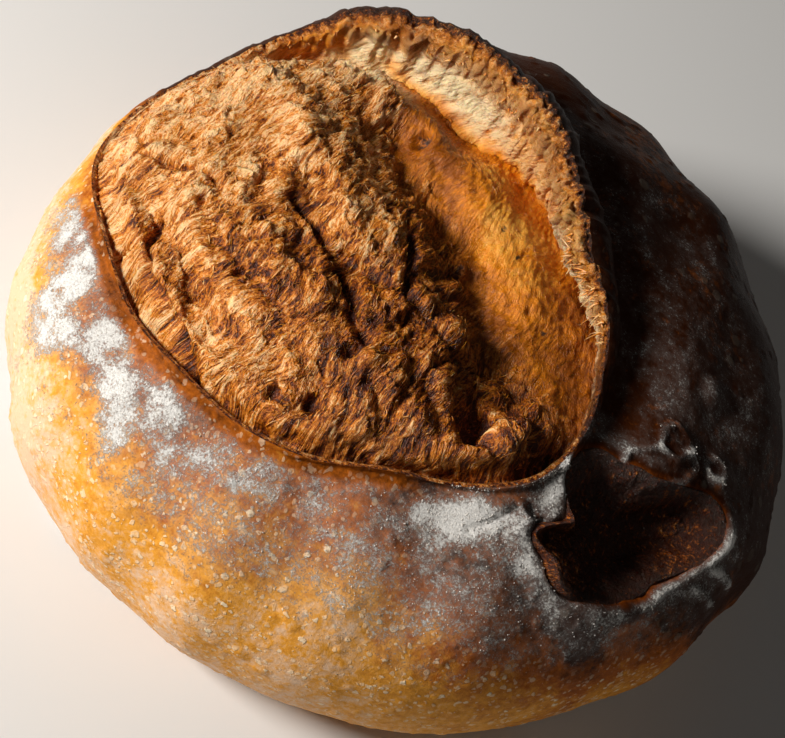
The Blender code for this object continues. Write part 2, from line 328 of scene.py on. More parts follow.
def stack(x, y, z):
    return np.stack(np.broadcast_arrays(x, y, z), axis=-1)


def unit(vectors):
    return vectors / np.maximum(np.linalg.norm(vectors, axis=-1, keepdims=True), 1e-9)


def lattice_hash(x, y, z, seed):
    """Evenly mixed 32-bit numbers, one for each point of a lattice."""
    mixed = x.astype(np.uint32) * np.uint32(0x8DA6B343)
    mixed = mixed ^ (y.astype(np.uint32) * np.uint32(0xD8163841))
    mixed = mixed ^ (z.astype(np.uint32) * np.uint32(0xCB1AB31F))
    mixed = mixed + np.uint32((seed * 0x9E3779B1) & 0xFFFFFFFF)
    for shift, factor in ((15, 0x2C1B3C6D), (12, 0x297A2D39)):
        mixed = (mixed ^ (mixed >> np.uint32(shift))) * np.uint32(factor)
    return mixed ^ (mixed >> np.uint32(15))


def noise(points, size, seed=0):
    """Smooth gradient noise, about -1 to 1, at points in mm; size is one feature size or three."""
    places = points / np.asarray(size, float)
    corner = np.floor(places).astype(np.int64)
    inside = places - corner
    fade = inside**3 * (inside * (inside * 6 - 15) + 10)
    total = np.zeros(len(points))
    for dx in (0, 1):
        for dy in (0, 1):
            for dz in (0, 1):
                mixed = lattice_hash(corner[:, 0] + dx, corner[:, 1] + dy, corner[:, 2] + dz, seed)
                slopes = [((mixed >> np.uint32(s)) & np.uint32(1023)) / 511.5 - 1.0 for s in (0, 10, 20)]
                away = (inside[:, 0] - dx, inside[:, 1] - dy, inside[:, 2] - dz)
                weight = 1.0
                for axis, step in enumerate((dx, dy, dz)):
                    weight = weight * (fade[:, axis] if step else 1 - fade[:, axis])
                total += weight * sum(s * a for s, a in zip(slopes, away))
    return total * 1.5


def ridged(points, size, seed=0):
    """Noise with sharp crests: 1 on the crests, down to about -1."""
    return 1 - 3.2 * np.abs(noise(points, size, seed))


def polyline_distance(x, y, points):
    """Distance in mm from plan points in mm to a line through points."""
    nearest = np.full(np.shape(x), 1e9)
    for (x0, y0), (x1, y1) in zip(points[:-1], points[1:]):
        run = np.array((x1 - x0, y1 - y0), float)
        along = np.clip(((x - x0) * run[0] + (y - y0) * run[1]) / (run @ run), 0, 1)
        nearest = np.minimum(nearest, np.hypot(x - x0 - along * run[0], y - y0 - along * run[1]))
    return nearest


def line_share(x, y, points, half_width, wobble=0.0):
    """Bell across a line in mm: 1 on it, falling with the distance to it."""
    return bell((polyline_distance(x, y, points) + wobble) / half_width)


class LoafForm:
    """The loaf's smooth form and main relief, in metres."""

    def __init__(self, sizes):
        self.radius = sizes.radius
        self.equator = sizes.equator
        self.dome = sizes.dome
        self.crown = sizes.crown
        self.tear_depth = sizes.tear_depth

    def plan_radius(self, angle):
        return self.radius * round_curve(PLAN_SHARES, angle)

    def dome_height(self, x, y):
        """Height of the crust's dome over a point of the plan."""
        reach = np.hypot(x, y) / self.plan_radius(np.arctan2(y, x))
        return self.equator + self.dome * np.clip(1 - reach**DOME_POWER, 0, 1) ** (1 / DOME_POWER)

    def tear_inside(self, x, y):
        """How far inside the second tear's outline a point lies, negative outside."""
        dx, dy = x - TEAR_CENTRE[0], y - TEAR_CENTRE[1]
        return round_curve(TEAR_RADIUS, np.arctan2(dy, dx)) - np.hypot(dx, dy)

    def in_tear(self, points):
        """How far in mm points lie inside the second tear's outline."""
        return self.tear_inside(points[:, 0], points[:, 1]) / MM

    def tear_relief(self, x, y):
        """Depth of the second tear and the lip that its crust curls up into."""
        inside = self.tear_inside(x, y)
        front = smooth_step(0.5 - (y - TEAR_CENTRE[1]) / (20 * MM))
        depth = self.tear_depth * smooth_step(inside / mix(TEAR_SLOPE, TEAR_STEEP, front))
        half_lip = 0.5 * TEAR_LIP_WIDTH
        return TEAR_LIP * front * bell((inside + half_lip) / half_lip) - depth

    def dome_normal(self, x, y, z):
        return unit(stack(x / self.radius**2, y / self.radius**2, (z - self.equator) / self.dome**2))

    def crust_point(self, x, y, z):
        """Moves points of the plain dome out along its normal by the crust's relief."""
        relief = swell(x, y) + self.tear_relief(x, y) + blister_relief(x, y)
        return stack(x, y, z) + self.dome_normal(x, y, z) * relief[..., None]


def fold_height(x, y):
    """Height that the large folds and furrows of the torn crumb add."""
    return MM * sum(height * line_share(x / MM, y / MM, points, half) for points, half, height in FOLDS)


def crag_height(x, y):
    """Height of the crags, sharp at the top and round between them."""
    return sum(
        height * MM * (0.6 - np.abs(np.sin(WAVE_TURN * (a * x + b * y) / 2 + phase)))
        for (a, b), phase, height in CRAGS
    )


def swell(x, y):
    """Slow unevenness of the crust."""
    return SWELL_HEIGHT * sum(np.sin(WAVE_TURN * (a * x + b * y) + phase) for a, b, phase in SWELL_WAVES)


def blister_relief(x, y):
    """Height of the large blisters, flat on top."""
    total = 0.0
    for (x0, y0), radius, height in BLISTERS:
        away = np.hypot(x - x0 * MM, y - y0 * MM) / (radius * MM)
        total = total + height * MM * bell(away**2)
    return total


def edge_notches(angles):
    """Notches of the opening's torn edge, in metres, deep only where the ear stands."""
    around = stack(*polar((0, 0), NOTCH_RADIUS, angles), 0)
    ear = between(4, 14, round_curve(EAR_RISE, angles) / MM)
    rough = sum(depth * noise(around, size, seed) for size, depth, seed in NOTCHES)
    return MM * (0.15 + 0.85 * ear) * rough


class Sections:
    """The loaf's sections at the angles round the opening: the points that its stages run between."""

    def __init__(self, form, angles):
        self.form = form
        self.angles = angles
        rise = round_curve(EAR_RISE, angles)
        lean = round_curve(EAR_LEAN, angles)
        thickness = round_curve(EDGE_THICKNESS, angles)
        notch = edge_notches(angles)
        self.edge = round_curve(EDGE_RADIUS, angles)
        x, y = self.plan(self.edge)
        self.crease = form.crust_point(x, y, form.dome_height(x, y))
        self.ridge = self.over(self.edge - lean, self.crease[:, 2] + rise + notch)
        rim_radius = self.edge - lean - thickness + notch
        self.rim = self.over(rim_radius, self.ridge[:, 2] - RIM_DROP * thickness)
        self.foot_radius = round_curve(WALL_FOOT_RADIUS, angles)
        self.foot = self.over(self.foot_radius, self.crease[:, 2] - round_curve(WALL_DROP, angles))
        self.undercut = round_curve(UNDERCUT, angles)
        self.bed_radius = self.foot_radius + self.undercut
        self.bed_height = self.foot[:, 2] - BED_DROP * self.undercut
        self.hollow = round_curve(HOLLOW_SHARE, angles)

    def plan(self, radius):
        """The x and y of the points at a radius round the opening's centre."""
        return polar(OPENING_CENTRE, radius, self.angles)

    def over(self, radius, height):
        return stack(*self.plan(radius), height)

    def outline(self):
        """The x and y of the loaf's plan outline, where each section's crust starts."""
        return polar((0, 0), self.form.plan_radius(self.angles), self.angles)

    def base(self, share):
        x, y = self.outline()
        return stack(x * BASE_SHARE * share, y * BASE_SHARE * share, 0.0)

    def side(self, share):
        turn = share * math.pi / 2
        reach = BASE_SHARE + (1 - BASE_SHARE) * math.sin(turn)
        equator = self.form.equator
        x, y = self.outline()
        plain = stack(x * reach, y * reach, equator * (1 - math.cos(turn)))
        widest = stack(x, y, equator)
        return plain + smooth_step(share) * (self.form.crust_point(x, y, equator) - widest)

    def crust(self, share):
        inward = 1 - math.cos(share * math.pi / 2) ** (2 / DOME_POWER) if share < 1 else 1.0
        x, y = (mix(*ends, inward) for ends in zip(self.outline(), self.plan(self.edge)))
        return self.form.crust_point(x, y, self.form.dome_height(x, y))

    def ear(self, share):
        plan = mix(self.crease, self.ridge, 0.2)
        corner = stack(plan[:, 0], plan[:, 1], mix(self.crease, self.ridge, 0.8)[:, 2])
        return bent(self.crease, corner, self.ridge, share)

    def rim_top(self, share):
        crown = mix(self.ridge, self.rim, 0.5)
        crown[:, 2] += 0.4 * (self.ridge - self.rim)[:, 2]
        return bent(self.ridge, crown, self.rim, share)

    def wall(self, share):
        corner = self.rim.copy()
        corner[:, 2] = mix(self.rim, self.foot, 0.75)[:, 2]
        return bent(self.rim, corner, self.foot, share)

    def under(self, share):
        start = self.over(self.bed_radius, self.bed_height)
        corner = mix(self.foot, start, 0.7)
        corner[:, 2] += 0.15 * self.undercut
        return bent(self.foot, corner, start, share)

    def bed(self, share):
        """Points of the crumb bed; share is 0 at its rim and 1 at its middle."""
        radius = self.bed_radius * (1 - share)
        x, y = self.plan(radius)
        crags = crag_height(x, y) * smooth_step((self.foot_radius - radius) / CRAG_FADE)
        crumb = self.form.dome_height(x, y) + self.form.crown + fold_height(x, y) + crags
        climb = np.maximum(self.foot_radius - radius, 0) / self.foot_radius
        sunk = mix(self.bed_height, crumb, 0.25 * share)
        return stack(x, y, mix(sunk, crumb, smooth_step(climb / self.hollow)))


def stage_maker(sections, stage):
    makers = {
        "base": sections.base,
        "side": sections.side,
        "crust": sections.crust,
        "ear": sections.ear,
        "rim": sections.rim_top,
        "wall": sections.wall,
        "under": sections.under,
    }
    return makers[stage]


def ring_points(sections, stage_rings):
    """All rings of the stages as (rings, meridians, 3), and the stage number plus share of each ring."""
    rings, places = [], []
    for number, (stage, count) in enumerate(stage_rings):
        maker = stage_maker(sections, stage)
        for ring in range(count):
            rings.append(maker((ring + 1) / count))
            places.append(number + (ring + 1) / count)
    return np.stack(rings), np.array(places)


def ring_faces(rings, meridians, pole=None):
    """Quads between neighbouring rings, and triangles to the pole's vertex from the first ring."""
    row = np.arange(rings - 1)[:, None] * meridians
    here = np.arange(meridians)[None, :]
    after = (here + 1) % meridians
    quads = np.stack((row + here, row + after, row + meridians + after, row + meridians + here), axis=-1)
    quads = quads.reshape(-1, 4)
    if pole is None:
        return [quads]
    fan = np.stack((np.full(meridians, pole), np.arange(meridians) + 1, np.arange(meridians)), axis=-1)
    fan[:, 1] %= meridians
    return [quads, fan]


def build_mesh(name, points, faces, material, looks):
    """Adds a smooth mesh object that rides on the loaf in its solid's place; looks become attributes."""
    mesh = bpy.data.meshes.new(name)
    sizes = np.concatenate([np.full(len(part), part.shape[1]) for part in faces])
    corners = np.concatenate([part.ravel() for part in faces])
    mesh.vertices.add(len(points))
    mesh.vertices.foreach_set("co", np.ascontiguousarray(points, np.float32).ravel())
    mesh.loops.add(len(corners))
    mesh.loops.foreach_set("vertex_index", corners.astype(np.int32))
    mesh.polygons.add(len(sizes))
    mesh.polygons.foreach_set("loop_start", (np.cumsum(sizes) - sizes).astype(np.int32))
    mesh.update(calc_edges=True)
    mesh.validate()
    mesh.shade_smooth()
    for key, values in looks.items():
        attribute = mesh.attributes.new(key, "FLOAT", "POINT")
        attribute.data.foreach_set("value", np.ascontiguousarray(values, np.float32))
    mesh.materials.append(material)
    piece = bpy.data.objects.new(name, mesh)
    bpy.context.scene.collection.objects.link(piece)
    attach(piece, BODY)
    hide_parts(NODE)


def surface_normals(points, faces):
    """Area-weighted normals of the surface at each point."""
    normals = np.zeros_like(points)
    for part in faces:
        corners = points[part]
        last = 3 if part.shape[1] == 4 else 0  # two diagonals of a quad, or two sides of a triangle
        flat = np.cross(corners[:, 2] - corners[:, 0], corners[:, last] - corners[:, 1])
        for k in range(part.shape[1]):
            np.add.at(normals, part[:, k], flat)
    return unit(normals)


def strand_lean(x):
    """Angle of the strands from straight back; they lean over to the right at the loaf's left end."""
    return np.radians(15) * smooth_step((-x / MM - 5) / 70) - np.radians(14) * smooth_step((x / MM - 5) / 40)


def strand_frame(points):
    """Places in mm measured across, along and out of the strands, which wander a little."""
    places = points / MM
    x, y, z = places.T
    lean = strand_lean(points[:, 0])
    wander = 3.2 * noise(places, 16, 3) + 0.5 * noise(places, 6, 4)
    across = x * np.cos(lean) - y * np.sin(lean) + wander
    along = x * np.sin(lean) + y * np.cos(lean) + 2 * noise(places, 11, 5)
    return stack(across, along, z)


def crevice_depth(x, y):
    """Depth in mm of the narrow cracks at plan points in mm."""
    wobble = 0.8 * noise(stack(x, y, 0 * x), 5, 8)
    return sum(depth * line_share(x, y, points, half, wobble) for points, half, depth in CREVICES)


def pit_depth(x, y):
    """Depth in mm of the pits at plan points in mm."""
    wobble = 0.25 * noise(stack(x, y, 0 * x), 2.5, 9)
    total = 0.0
    for (x0, y0), radius, depth in PITS:
        away = np.hypot(x - x0, 0.75 * (y - y0)) / radius + wobble
        total = total + depth * bell(away**2)
    return total


def past_hollow_edge(x, y):
    """How far back in mm plan points in mm lie from the line where the hollow starts."""
    return y - np.interp(x, *zip(*HOLLOW_EDGE))


def hollow_share(places):
    """1 in the smooth hollow under the ear, 0 in the torn crumb, at points in mm."""
    past = past_hollow_edge(*places[:, :2].T)
    return between(-5, 9, 0.75 * past + 4.0 * noise(places, 8, 21) + 2.0 * noise(places, 3, 22))


class Crumb:
    """The surface of the torn crumb over any points of the plan."""

    def __init__(self, form, sizes):
        self.form = form
        self.sizes = sizes

    def smooth(self, x, y):
        """Points of the bed without its fine relief, and how far in metres each is inside the bed's rim."""
        dx, dy = x - OPENING_CENTRE[0], y - OPENING_CENTRE[1]
        sections = Sections(self.form, np.arctan2(dy, dx))
        share = 1 - np.hypot(dx, dy) / sections.bed_radius
        return sections.bed(share), share * sections.bed_radius

    def normals(self, x, y):
        step = 0.6 * MM
        here, right, back = (self.smooth(x + dx, y + dy)[0] for dx, dy in ((0, 0), (step, 0), (0, step)))
        return unit(np.cross(right - here, back - here))

    def relief(self, points):
        """Height in metres of slabs, strands and torn flakes, and how high and pale each place stands."""
        laid = strand_frame(points)
        patch = noise(points / MM, 13, 6)
        slabs = 2.2 * np.abs(noise(laid, (9, 14, 12), 13)) - 0.5 + 0.5 * noise(laid, (16, 12, 16), 14)
        knobs = np.abs(noise(laid, (3.6, 5.5, 5), 15)) - 0.3
        step = laid[:, 1] / 7.5 + 1.6 * noise(laid, (8, 10, 8), 16)
        flakes = (step - np.floor(step)) ** 2 * between(-0.1, 0.45, noise(laid, (5, 7, 6), 17) + 0.4 * patch)
        bundles = ridged(laid, (2.3, 13, 5), 11)
        fibres = ridged(laid, (1.05, 8, 3), 12) + 0.5 * ridged(laid, (1.3, 4, 3), 18)
        flake_height, strand_height = self.sizes.flake_relief, self.sizes.strand_relief
        rough = mix(0.75, 1.5, between(-25, 0, laid[:, 0]))
        height = flake_height * (rough * slabs + 0.6 * knobs + 0.8 * flakes)
        height = height + strand_height * (0.6 + 0.5 * patch) * (bundles + 0.6 * fibres)
        # The crest tone follows the relief: raised places painted paler as painted light, low places darker
        # as painted shade.
        crest = 0.55 + 0.10 * slabs + 0.10 * knobs + 0.24 * (flakes - 0.15) + 0.10 * bundles + 0.07 * fibres
        return height, crest, laid

    def surface(self, x, y):
        """Points of the crumb, its normals and its looks by attribute name."""
        points, from_rim = self.smooth(x, y)
        normals = self.normals(x, y)
        places = points / MM
        calm = hollow_share(places)
        relief, crest, laid = self.relief(points)
        fuzz = 0.45 * noise(laid, (1.2, 3.0, 2), 81) + 0.45 * noise(places, 3.2, 84)
        fuzz = fuzz + 0.5 * noise(places, 10, 82)
        sunk = pit_depth(*places[:, :2].T) + crevice_depth(*places[:, :2].T)
        relief = mix(relief, fuzz * MM, calm) - sunk * MM
        relief = relief * between(0.0, 1.5, from_rim / MM)
        pull = stack(np.sin(strand_lean(x)), np.cos(strand_lean(x)), 0 * x)
        pull = pull * (0.5 * np.maximum(relief, 0) * (1 - calm))[:, None]
        # The toast attribute holds real toasting together with painted shade on the slope and in the hollow,
        # and painted pools of light.
        toast_and_shade = mix(toast_and_shade_amount(places), hollow_painted_shade(places), calm)
        cream = cream_patch(places)
        looks = {
            # The pits, crevices and the slope to the hollow darken the crest: painted shade.
            "crest": np.clip(crest - 0.14 * sunk - 0.12 * painted_slope_shade(x / MM, y / MM), 0, 1),
            "toast_and_shade": np.clip(toast_and_shade - 0.5 * cream, -1, 1),
            "calm": calm * (1 - cream),
            "raw": cream,
            "char": speck_share(places),
            "across": laid[:, 0] * MM,
            "along": laid[:, 1] * MM,
        }
        return points + normals * relief[:, None] + pull, normals, looks


def toast_and_shade_amount(places):
    """How toasted the crumb is, from -1 pale to 1 dark, with painted shade on the slope to the hollow and a
    painted pool of light at (-33, -11).
    """
    x, y, _ = places.T
    dark = 0.8 * oval(x, y, (-42, -49), (30, 11)) + 0.45 * line_share(x, y, SPINE, 9)
    # Painted shade on the slope that falls to the hollow.
    dark = dark + 0.5 * painted_slope_shade(x, y) + 0.65 * between(-30, -14, x)
    dark = dark + 0.2 * between(-55, -20, x) * between(-45, -20, y)
    dark = dark + 0.25 * between(-75, -55, x) * between(-20, -35, y)
    pale = 0.3 * between(-55, -80, x) + 0.45 * between(-45, -65, x) * between(-15, 10, y)
    # The oval at (-33, -11) is a painted pool of light on the strands there.
    pale = pale + 0.7 * oval(x, y, (-33, -11), (9, 10)) + 0.7 * oval(x, y, (-42, -67), (26, 8))
    return 0.08 + dark - pale + 0.55 * noise(places, 11, 83)


def painted_slope_shade(x, y):
    """Share of the shaded slope where the crumb falls to the hollow; the crumb is painted darker there as
    painted shade.
    """
    return bell((past_hollow_edge(x, y) + 13) / 13) * between(-40, -26, x)


def hollow_painted_shade(places):
    """How dark the hollow's floor is, as painted shade and light: dark at both ends and along its edge,
    palest in the middle under the ear.
    """
    x, y, _ = places.T
    dark = between(-12, -32, x) + 1.1 * between(18, 34, x) + 1.1 * bell(past_hollow_edge(x, y) / 9)
    return 0.25 + dark - 0.7 * oval(x, y, (4, 12), (13, 13)) + 0.4 * noise(places, 9, 87)


def cream_patch(places):
    """Share of the smooth cream patch at the back left, where the crumb meets the ear."""
    x, y, _ = places.T
    return between(1.3, 0.6, np.hypot((x + 58) / 13, (y - 46) / 9) + 0.25 * noise(places, 6, 85))


def speck_share(places):
    """Share of the dark specks on the crumb, at points in mm."""
    wobble = 0.5 * noise(places, 1.2, 86)
    total = 0.0
    for x, y, radius in SPECKS:
        away = np.hypot(places[:, 0] - x, places[:, 1] - y) / radius
        total = total + between(1.2, 0.8, away + wobble)
    return np.clip(total, 0, 1)


def square_to_round(cells):
    """Angles and radii (0 to 1) of a square grid's points rounded into a disc, row by row."""
    line = np.linspace(-1, 1, cells + 1)
    a, b = (grid.ravel() for grid in np.meshgrid(line, line, indexing="xy"))
    wide = np.abs(a) > np.abs(b)
    radius = np.where(wide, a, b)
    with np.errstate(divide="ignore", invalid="ignore"):
        angle = np.where(wide, np.pi / 4 * b / a, np.pi / 2 - np.pi / 4 * a / b)
    angle = np.where(radius == 0, 0, angle)
    angle = np.where(radius < 0, angle + np.pi, angle)
    return angle, np.abs(radius)


def grid_faces(cells):
    first = (np.arange(cells)[:, None] * (cells + 1) + np.arange(cells)[None, :]).ravel()
    return [np.stack((first, first + 1, first + cells + 2, first + cells + 1), axis=-1)]


def tubes(centres, ups, widths, heights):
    """Closed tubes along rows of points: centres are (tubes, rings, 3), and ups say where flat sides face."""
    forward = unit(np.gradient(centres, axis=1))
    sides = unit(np.cross(forward, ups))
    lifts = np.cross(sides, forward)
    count, rings = centres.shape[:2]
    corner = np.arange(TUBE_CORNERS)
    turns = 2 * np.pi * (corner + 0.5) / TUBE_CORNERS
    across = (widths[:, :, None] * np.cos(turns))[..., None] * sides[:, :, None]
    over = (heights[:, :, None] * np.sin(turns))[..., None] * lifts[:, :, None]
    points = (centres[:, :, None] + across + over).reshape(-1, 3)
    start = (np.arange(count) * rings * TUBE_CORNERS)[:, None, None]
    low = start + (np.arange(rings - 1) * TUBE_CORNERS)[None, :, None]
    high = low + TUBE_CORNERS
    after = (corner + 1) % TUBE_CORNERS
    walls = np.stack((low + corner, low + after, high + after, high + corner), axis=-1).reshape(-1, 4)
    first = start[:, 0] + corner[::-1]
    last = start[:, 0] + (rings - 1) * TUBE_CORNERS + corner
    return points, [walls, first, last]


def along_paths(x, y, heading, length, curl, rings):
    """Plan points of gently curling paths that start at x, y: two arrays (paths, rings)."""
    share = np.linspace(0, 1, rings)
    turn = heading[:, None] + curl[:, None] * share
    step = length[:, None] / (rings - 1)
    dx = np.cumsum(step * np.sin(turn), axis=1) - step * np.sin(turn[:, :1])
    dy = np.cumsum(step * np.cos(turn), axis=1) - step * np.cos(turn[:, :1])
    return x[:, None] + dx, y[:, None] + dy


def plan_calm(x, y):
    """Share of the smooth hollow at points of the plan."""
    return hollow_share(stack(x, y, CRUMB_LEVEL) / MM)


def scattered_crumb(rng, count, in_hollow):
    """Random plan points of the crumb, few in the hollow."""
    angle = rng.uniform(0, 2 * np.pi, count * 4)
    reach = np.sqrt(rng.uniform(0, 1, count * 4))
    x, y = polar(OPENING_CENTRE, (round_curve(WALL_FOOT_RADIUS, angle) - 2 * MM) * reach, angle)
    keep = rng.uniform(0, 1, len(x)) < mix(1.0, in_hollow, plan_calm(x, y))
    return x[keep][:count], y[keep][:count]


def loose_pieces(crumb, rng, count, lengths, halves, flatness, in_hollow, free):
    """Points, faces and looks of strands or flakes that arch off the crumb or stand off with a free tip."""
    x, y = scattered_crumb(rng, count, in_hollow)
    count = len(x)
    calm = plan_calm(x, y)
    heading = strand_lean(x) + rng.normal(0, mix(0.22, 0.9, calm))
    length = rng.uniform(*lengths, count) * MM * rng.uniform(0.6, 1, count)
    curl = rng.normal(0, 0.8, count)
    px, py = along_paths(x, y, heading, length, curl, STRAND_RINGS)
    points, normals, looks = crumb.surface(px.ravel(), py.ravel())
    points, normals = (array.reshape(count, STRAND_RINGS, 3) for array in (points, normals))
    share = np.linspace(0, 1, STRAND_RINGS)[None, :]
    arch = np.sin(np.pi * share) * rng.uniform(0.1, 0.9, (count, 1))
    tip = share**2 * rng.uniform(0, free, (count, 1)) ** 2 * 2.2
    loose = rng.uniform(0, 1, (count, 1)) < LOOSE_SHARE
    lift = np.where(loose, tip, arch) * (0.35 * length[:, None] / MM / 2) - 0.15
    lift = lift * mix(1.0, 0.5, calm)[:, None]
    half = rng.uniform(*halves, (count, 1)) * mix(1.0, 0.55, calm)[:, None] * MM
    widths = half * (1 - 0.82 * share**1.5) * np.minimum(1, 0.35 + 3 * share)
    heights = np.maximum(widths * flatness, THINNEST)
    made, faces = tubes(points + normals * (lift * MM)[..., None], normals, widths, heights)
    crest = looks["crest"].reshape(count, -1) * 0.5 + 0.10 + 0.40 * share + rng.normal(0, 0.16, (count, 1))
    shades = {"crest": np.clip(crest, 0, 1).ravel(), "toast_and_shade": looks["toast_and_shade"] + 0.5 * looks["calm"]}
    return made, faces, {key: np.repeat(values, TUBE_CORNERS) for key, values in shades.items()}


def edge_wisps(form, rng, count):
    """Points, faces and looks of the wisps that hang from the ear's edge; at the left they stand outward."""
    angle = np.where(rng.uniform(0, 1, count) < 0.25, rng.uniform(4, 32, count), rng.uniform(4, 205, count))
    outward = between(138, 150, angle)[:, None]
    longest = mix(1.6, 5.0, between(40, 20, angle))
    angle = np.radians(angle)
    sections = Sections(form, angle)
    start = mix(sections.rim, sections.foot, rng.uniform(-0.05, 0.25, (count, 1)))
    inward = stack(-np.cos(angle), -np.sin(angle), 0 * angle)
    inward = inward * (1 - 1.5 * outward) + stack(0, 0, 0.9) * outward
    sideways = stack(-np.sin(angle), np.cos(angle), 0 * angle)
    lean = rng.normal(0, 0.8, (count, 1))
    share = np.linspace(0, 1, FRINGE_RINGS)[None, :, None]
    length = np.maximum(longest * rng.uniform(0.5, 1, count) ** 2, 0.8)[:, None, None] * MM
    way = unit(inward + lean * sideways + stack(0, 0, 1) * rng.uniform(-0.9, 0.35, (count, 1)))[:, None]
    bend = sideways[:, None] * rng.normal(0, 0.35, (count, 1, 1)) + stack(0, 0, -0.35)
    centres = start[:, None] - way * 0.6 * MM + way * length * share + bend * length * share**2
    widths = rng.uniform(0.2, 0.6, (count, 1)) * MM * (1 - 0.85 * share[..., 0] ** 1.3)
    made, faces = tubes(centres, stack(0.0, 0.0, 1.0), widths, widths * 0.6)
    crest = np.clip(0.45 + 0.4 * share[..., 0] + rng.normal(0, 0.12, (count, 1)), 0, 1)
    looks = {"crest": np.repeat(crest.ravel(), TUBE_CORNERS), "toast_and_shade": np.full(len(made), 0.1)}
    return made, faces, looks


def torn_edge(form):
    """Points, faces and looks of the opening's rim, its inner wall and the face that runs in under it."""
    meridians = 4 * BED_CELLS
    sections = Sections(form, 2 * np.pi * np.arange(meridians) / meridians + np.pi / 4)
    rings, places = ring_points(sections, WALL_RINGS)
    rings = np.concatenate((sections.ridge[None], rings))
    points = rings.reshape(-1, 3)
    faces = ring_faces(len(rings), meridians)
    place = np.repeat(np.append(0.0, places), meridians)
    angles = np.tile(sections.angles, len(rings))
    height = np.tile((sections.rim - sections.foot)[:, 2] / MM, len(rings))
    relief, looks = edge_finish(points / MM, place, angles, between(4, 13, height))
    return points + surface_normals(points, faces) * (relief * MM)[:, None], faces, looks


def edge_finish(spots, place, angles, tall):
    """Relief in mm and looks of the torn edge; place runs to 1 on the rim and to 2 on the wall."""
    around = EDGE_SPAN * angles
    slanted = stack(
        around + 0.8 * spots[:, 2] + 2.0 * noise(spots, 9, 71),
        spots[:, 2] - 0.2 * around + 1.5 * noise(spots, 8, 72),
        0 * angles,
    )
    webs = ridged(slanted, (2.6, 8, 1), 73) + 0.5 * ridged(slanted, (1.3, 4, 1), 74)
    lumps = 2 * np.abs(noise(spots, 7, 75)) - 0.5
    grit = noise(spots, 1.6, 76) + 0.6 * noise(spots, 0.9, 77)
    knobs = 2.8 * np.abs(noise(spots, 4.2, 80)) - 0.7 + 0.5 * grit
    on_rim = between(1.25, 0.9, place)
    on_wall = window(place, 0.9, 1.3, 2.3, 2.9)
    relief = on_wall * (0.25 + 0.75 * tall) * (0.30 * webs + 1.4 * lumps)
    relief = relief + on_rim * between(0.0, 0.15, place) * knobs * (0.1 + 0.9 * tall)
    degrees = np.degrees(angles)
    cream = cream_patch(spots)
    left = window(degrees % 360, *LEFT_EDGE)
    slab = window(degrees, *BARE_SLAB) * (1 - cream)
    # At the right corner the rim is painted darker, with less crest and more toast and char: painted shade.
    corner = between(22, 4, np.abs((degrees - RIGHT_CORNER + 180) % 360 - 180))
    inner = between(0.25, 0.7, place)
    honey = inner * on_rim * tall
    low = between(1.45, 1.95, place + 0.1 * noise(spots, 6, 78)) * tall
    blobs = between(-0.7, 0.0, noise(spots, 7, 79) + 0.2 * webs) * mix(0.2, 1.0, between(74, 88, degrees))
    raw = window(place, 1.15, 1.4, 1.6, 2.0) * tall * (1 - slab) * blobs
    crest = mix(0.70 + 0.1 * between(70, 86, degrees), 0.46 + 0.26 * inner, on_rim)
    crest = crest + 0.10 * webs + 0.22 * lumps + 0.25 * on_rim * knobs - 0.3 * corner
    toast_and_shade = mix(mix(mix(1.0, 0.5, tall), 0.0, left), -0.2, on_wall * tall)
    # The bare slab is painted darker here as painted shade, and so is the right corner.
    toast_and_shade = toast_and_shade * (1 - cream) - cream + 0.5 * slab + 0.8 * corner - 0.5 * honey
    bare_wall = on_wall * tall * between(86, 72, degrees)
    calm = (low * (1 - cream), slab * between(0.5, 0.9, place), 0.6 * honey, 0.45 * bare_wall)
    char = (0.8 * between(0.45, 0.15, place) + 0.2 * between(1.1, 0.7, place)) * tall * (1 - left)
    looks = {
        "crest": np.clip(crest, 0, 1),
        "toast_and_shade": np.clip(toast_and_shade, -1, 1),
        "calm": np.maximum.reduce(calm),
        "raw": np.clip(raw + cream * on_wall, 0, 1),
        "char": np.clip(char + 0.6 * corner, 0, 1),
        "across": mix(slanted[:, 0], spots[:, 0], on_rim) * MM,
        "along": mix(slanted[:, 1], 5 * spots[:, 1], on_rim) * MM,
    }
    return relief * between(3.0, 2.7, place), looks


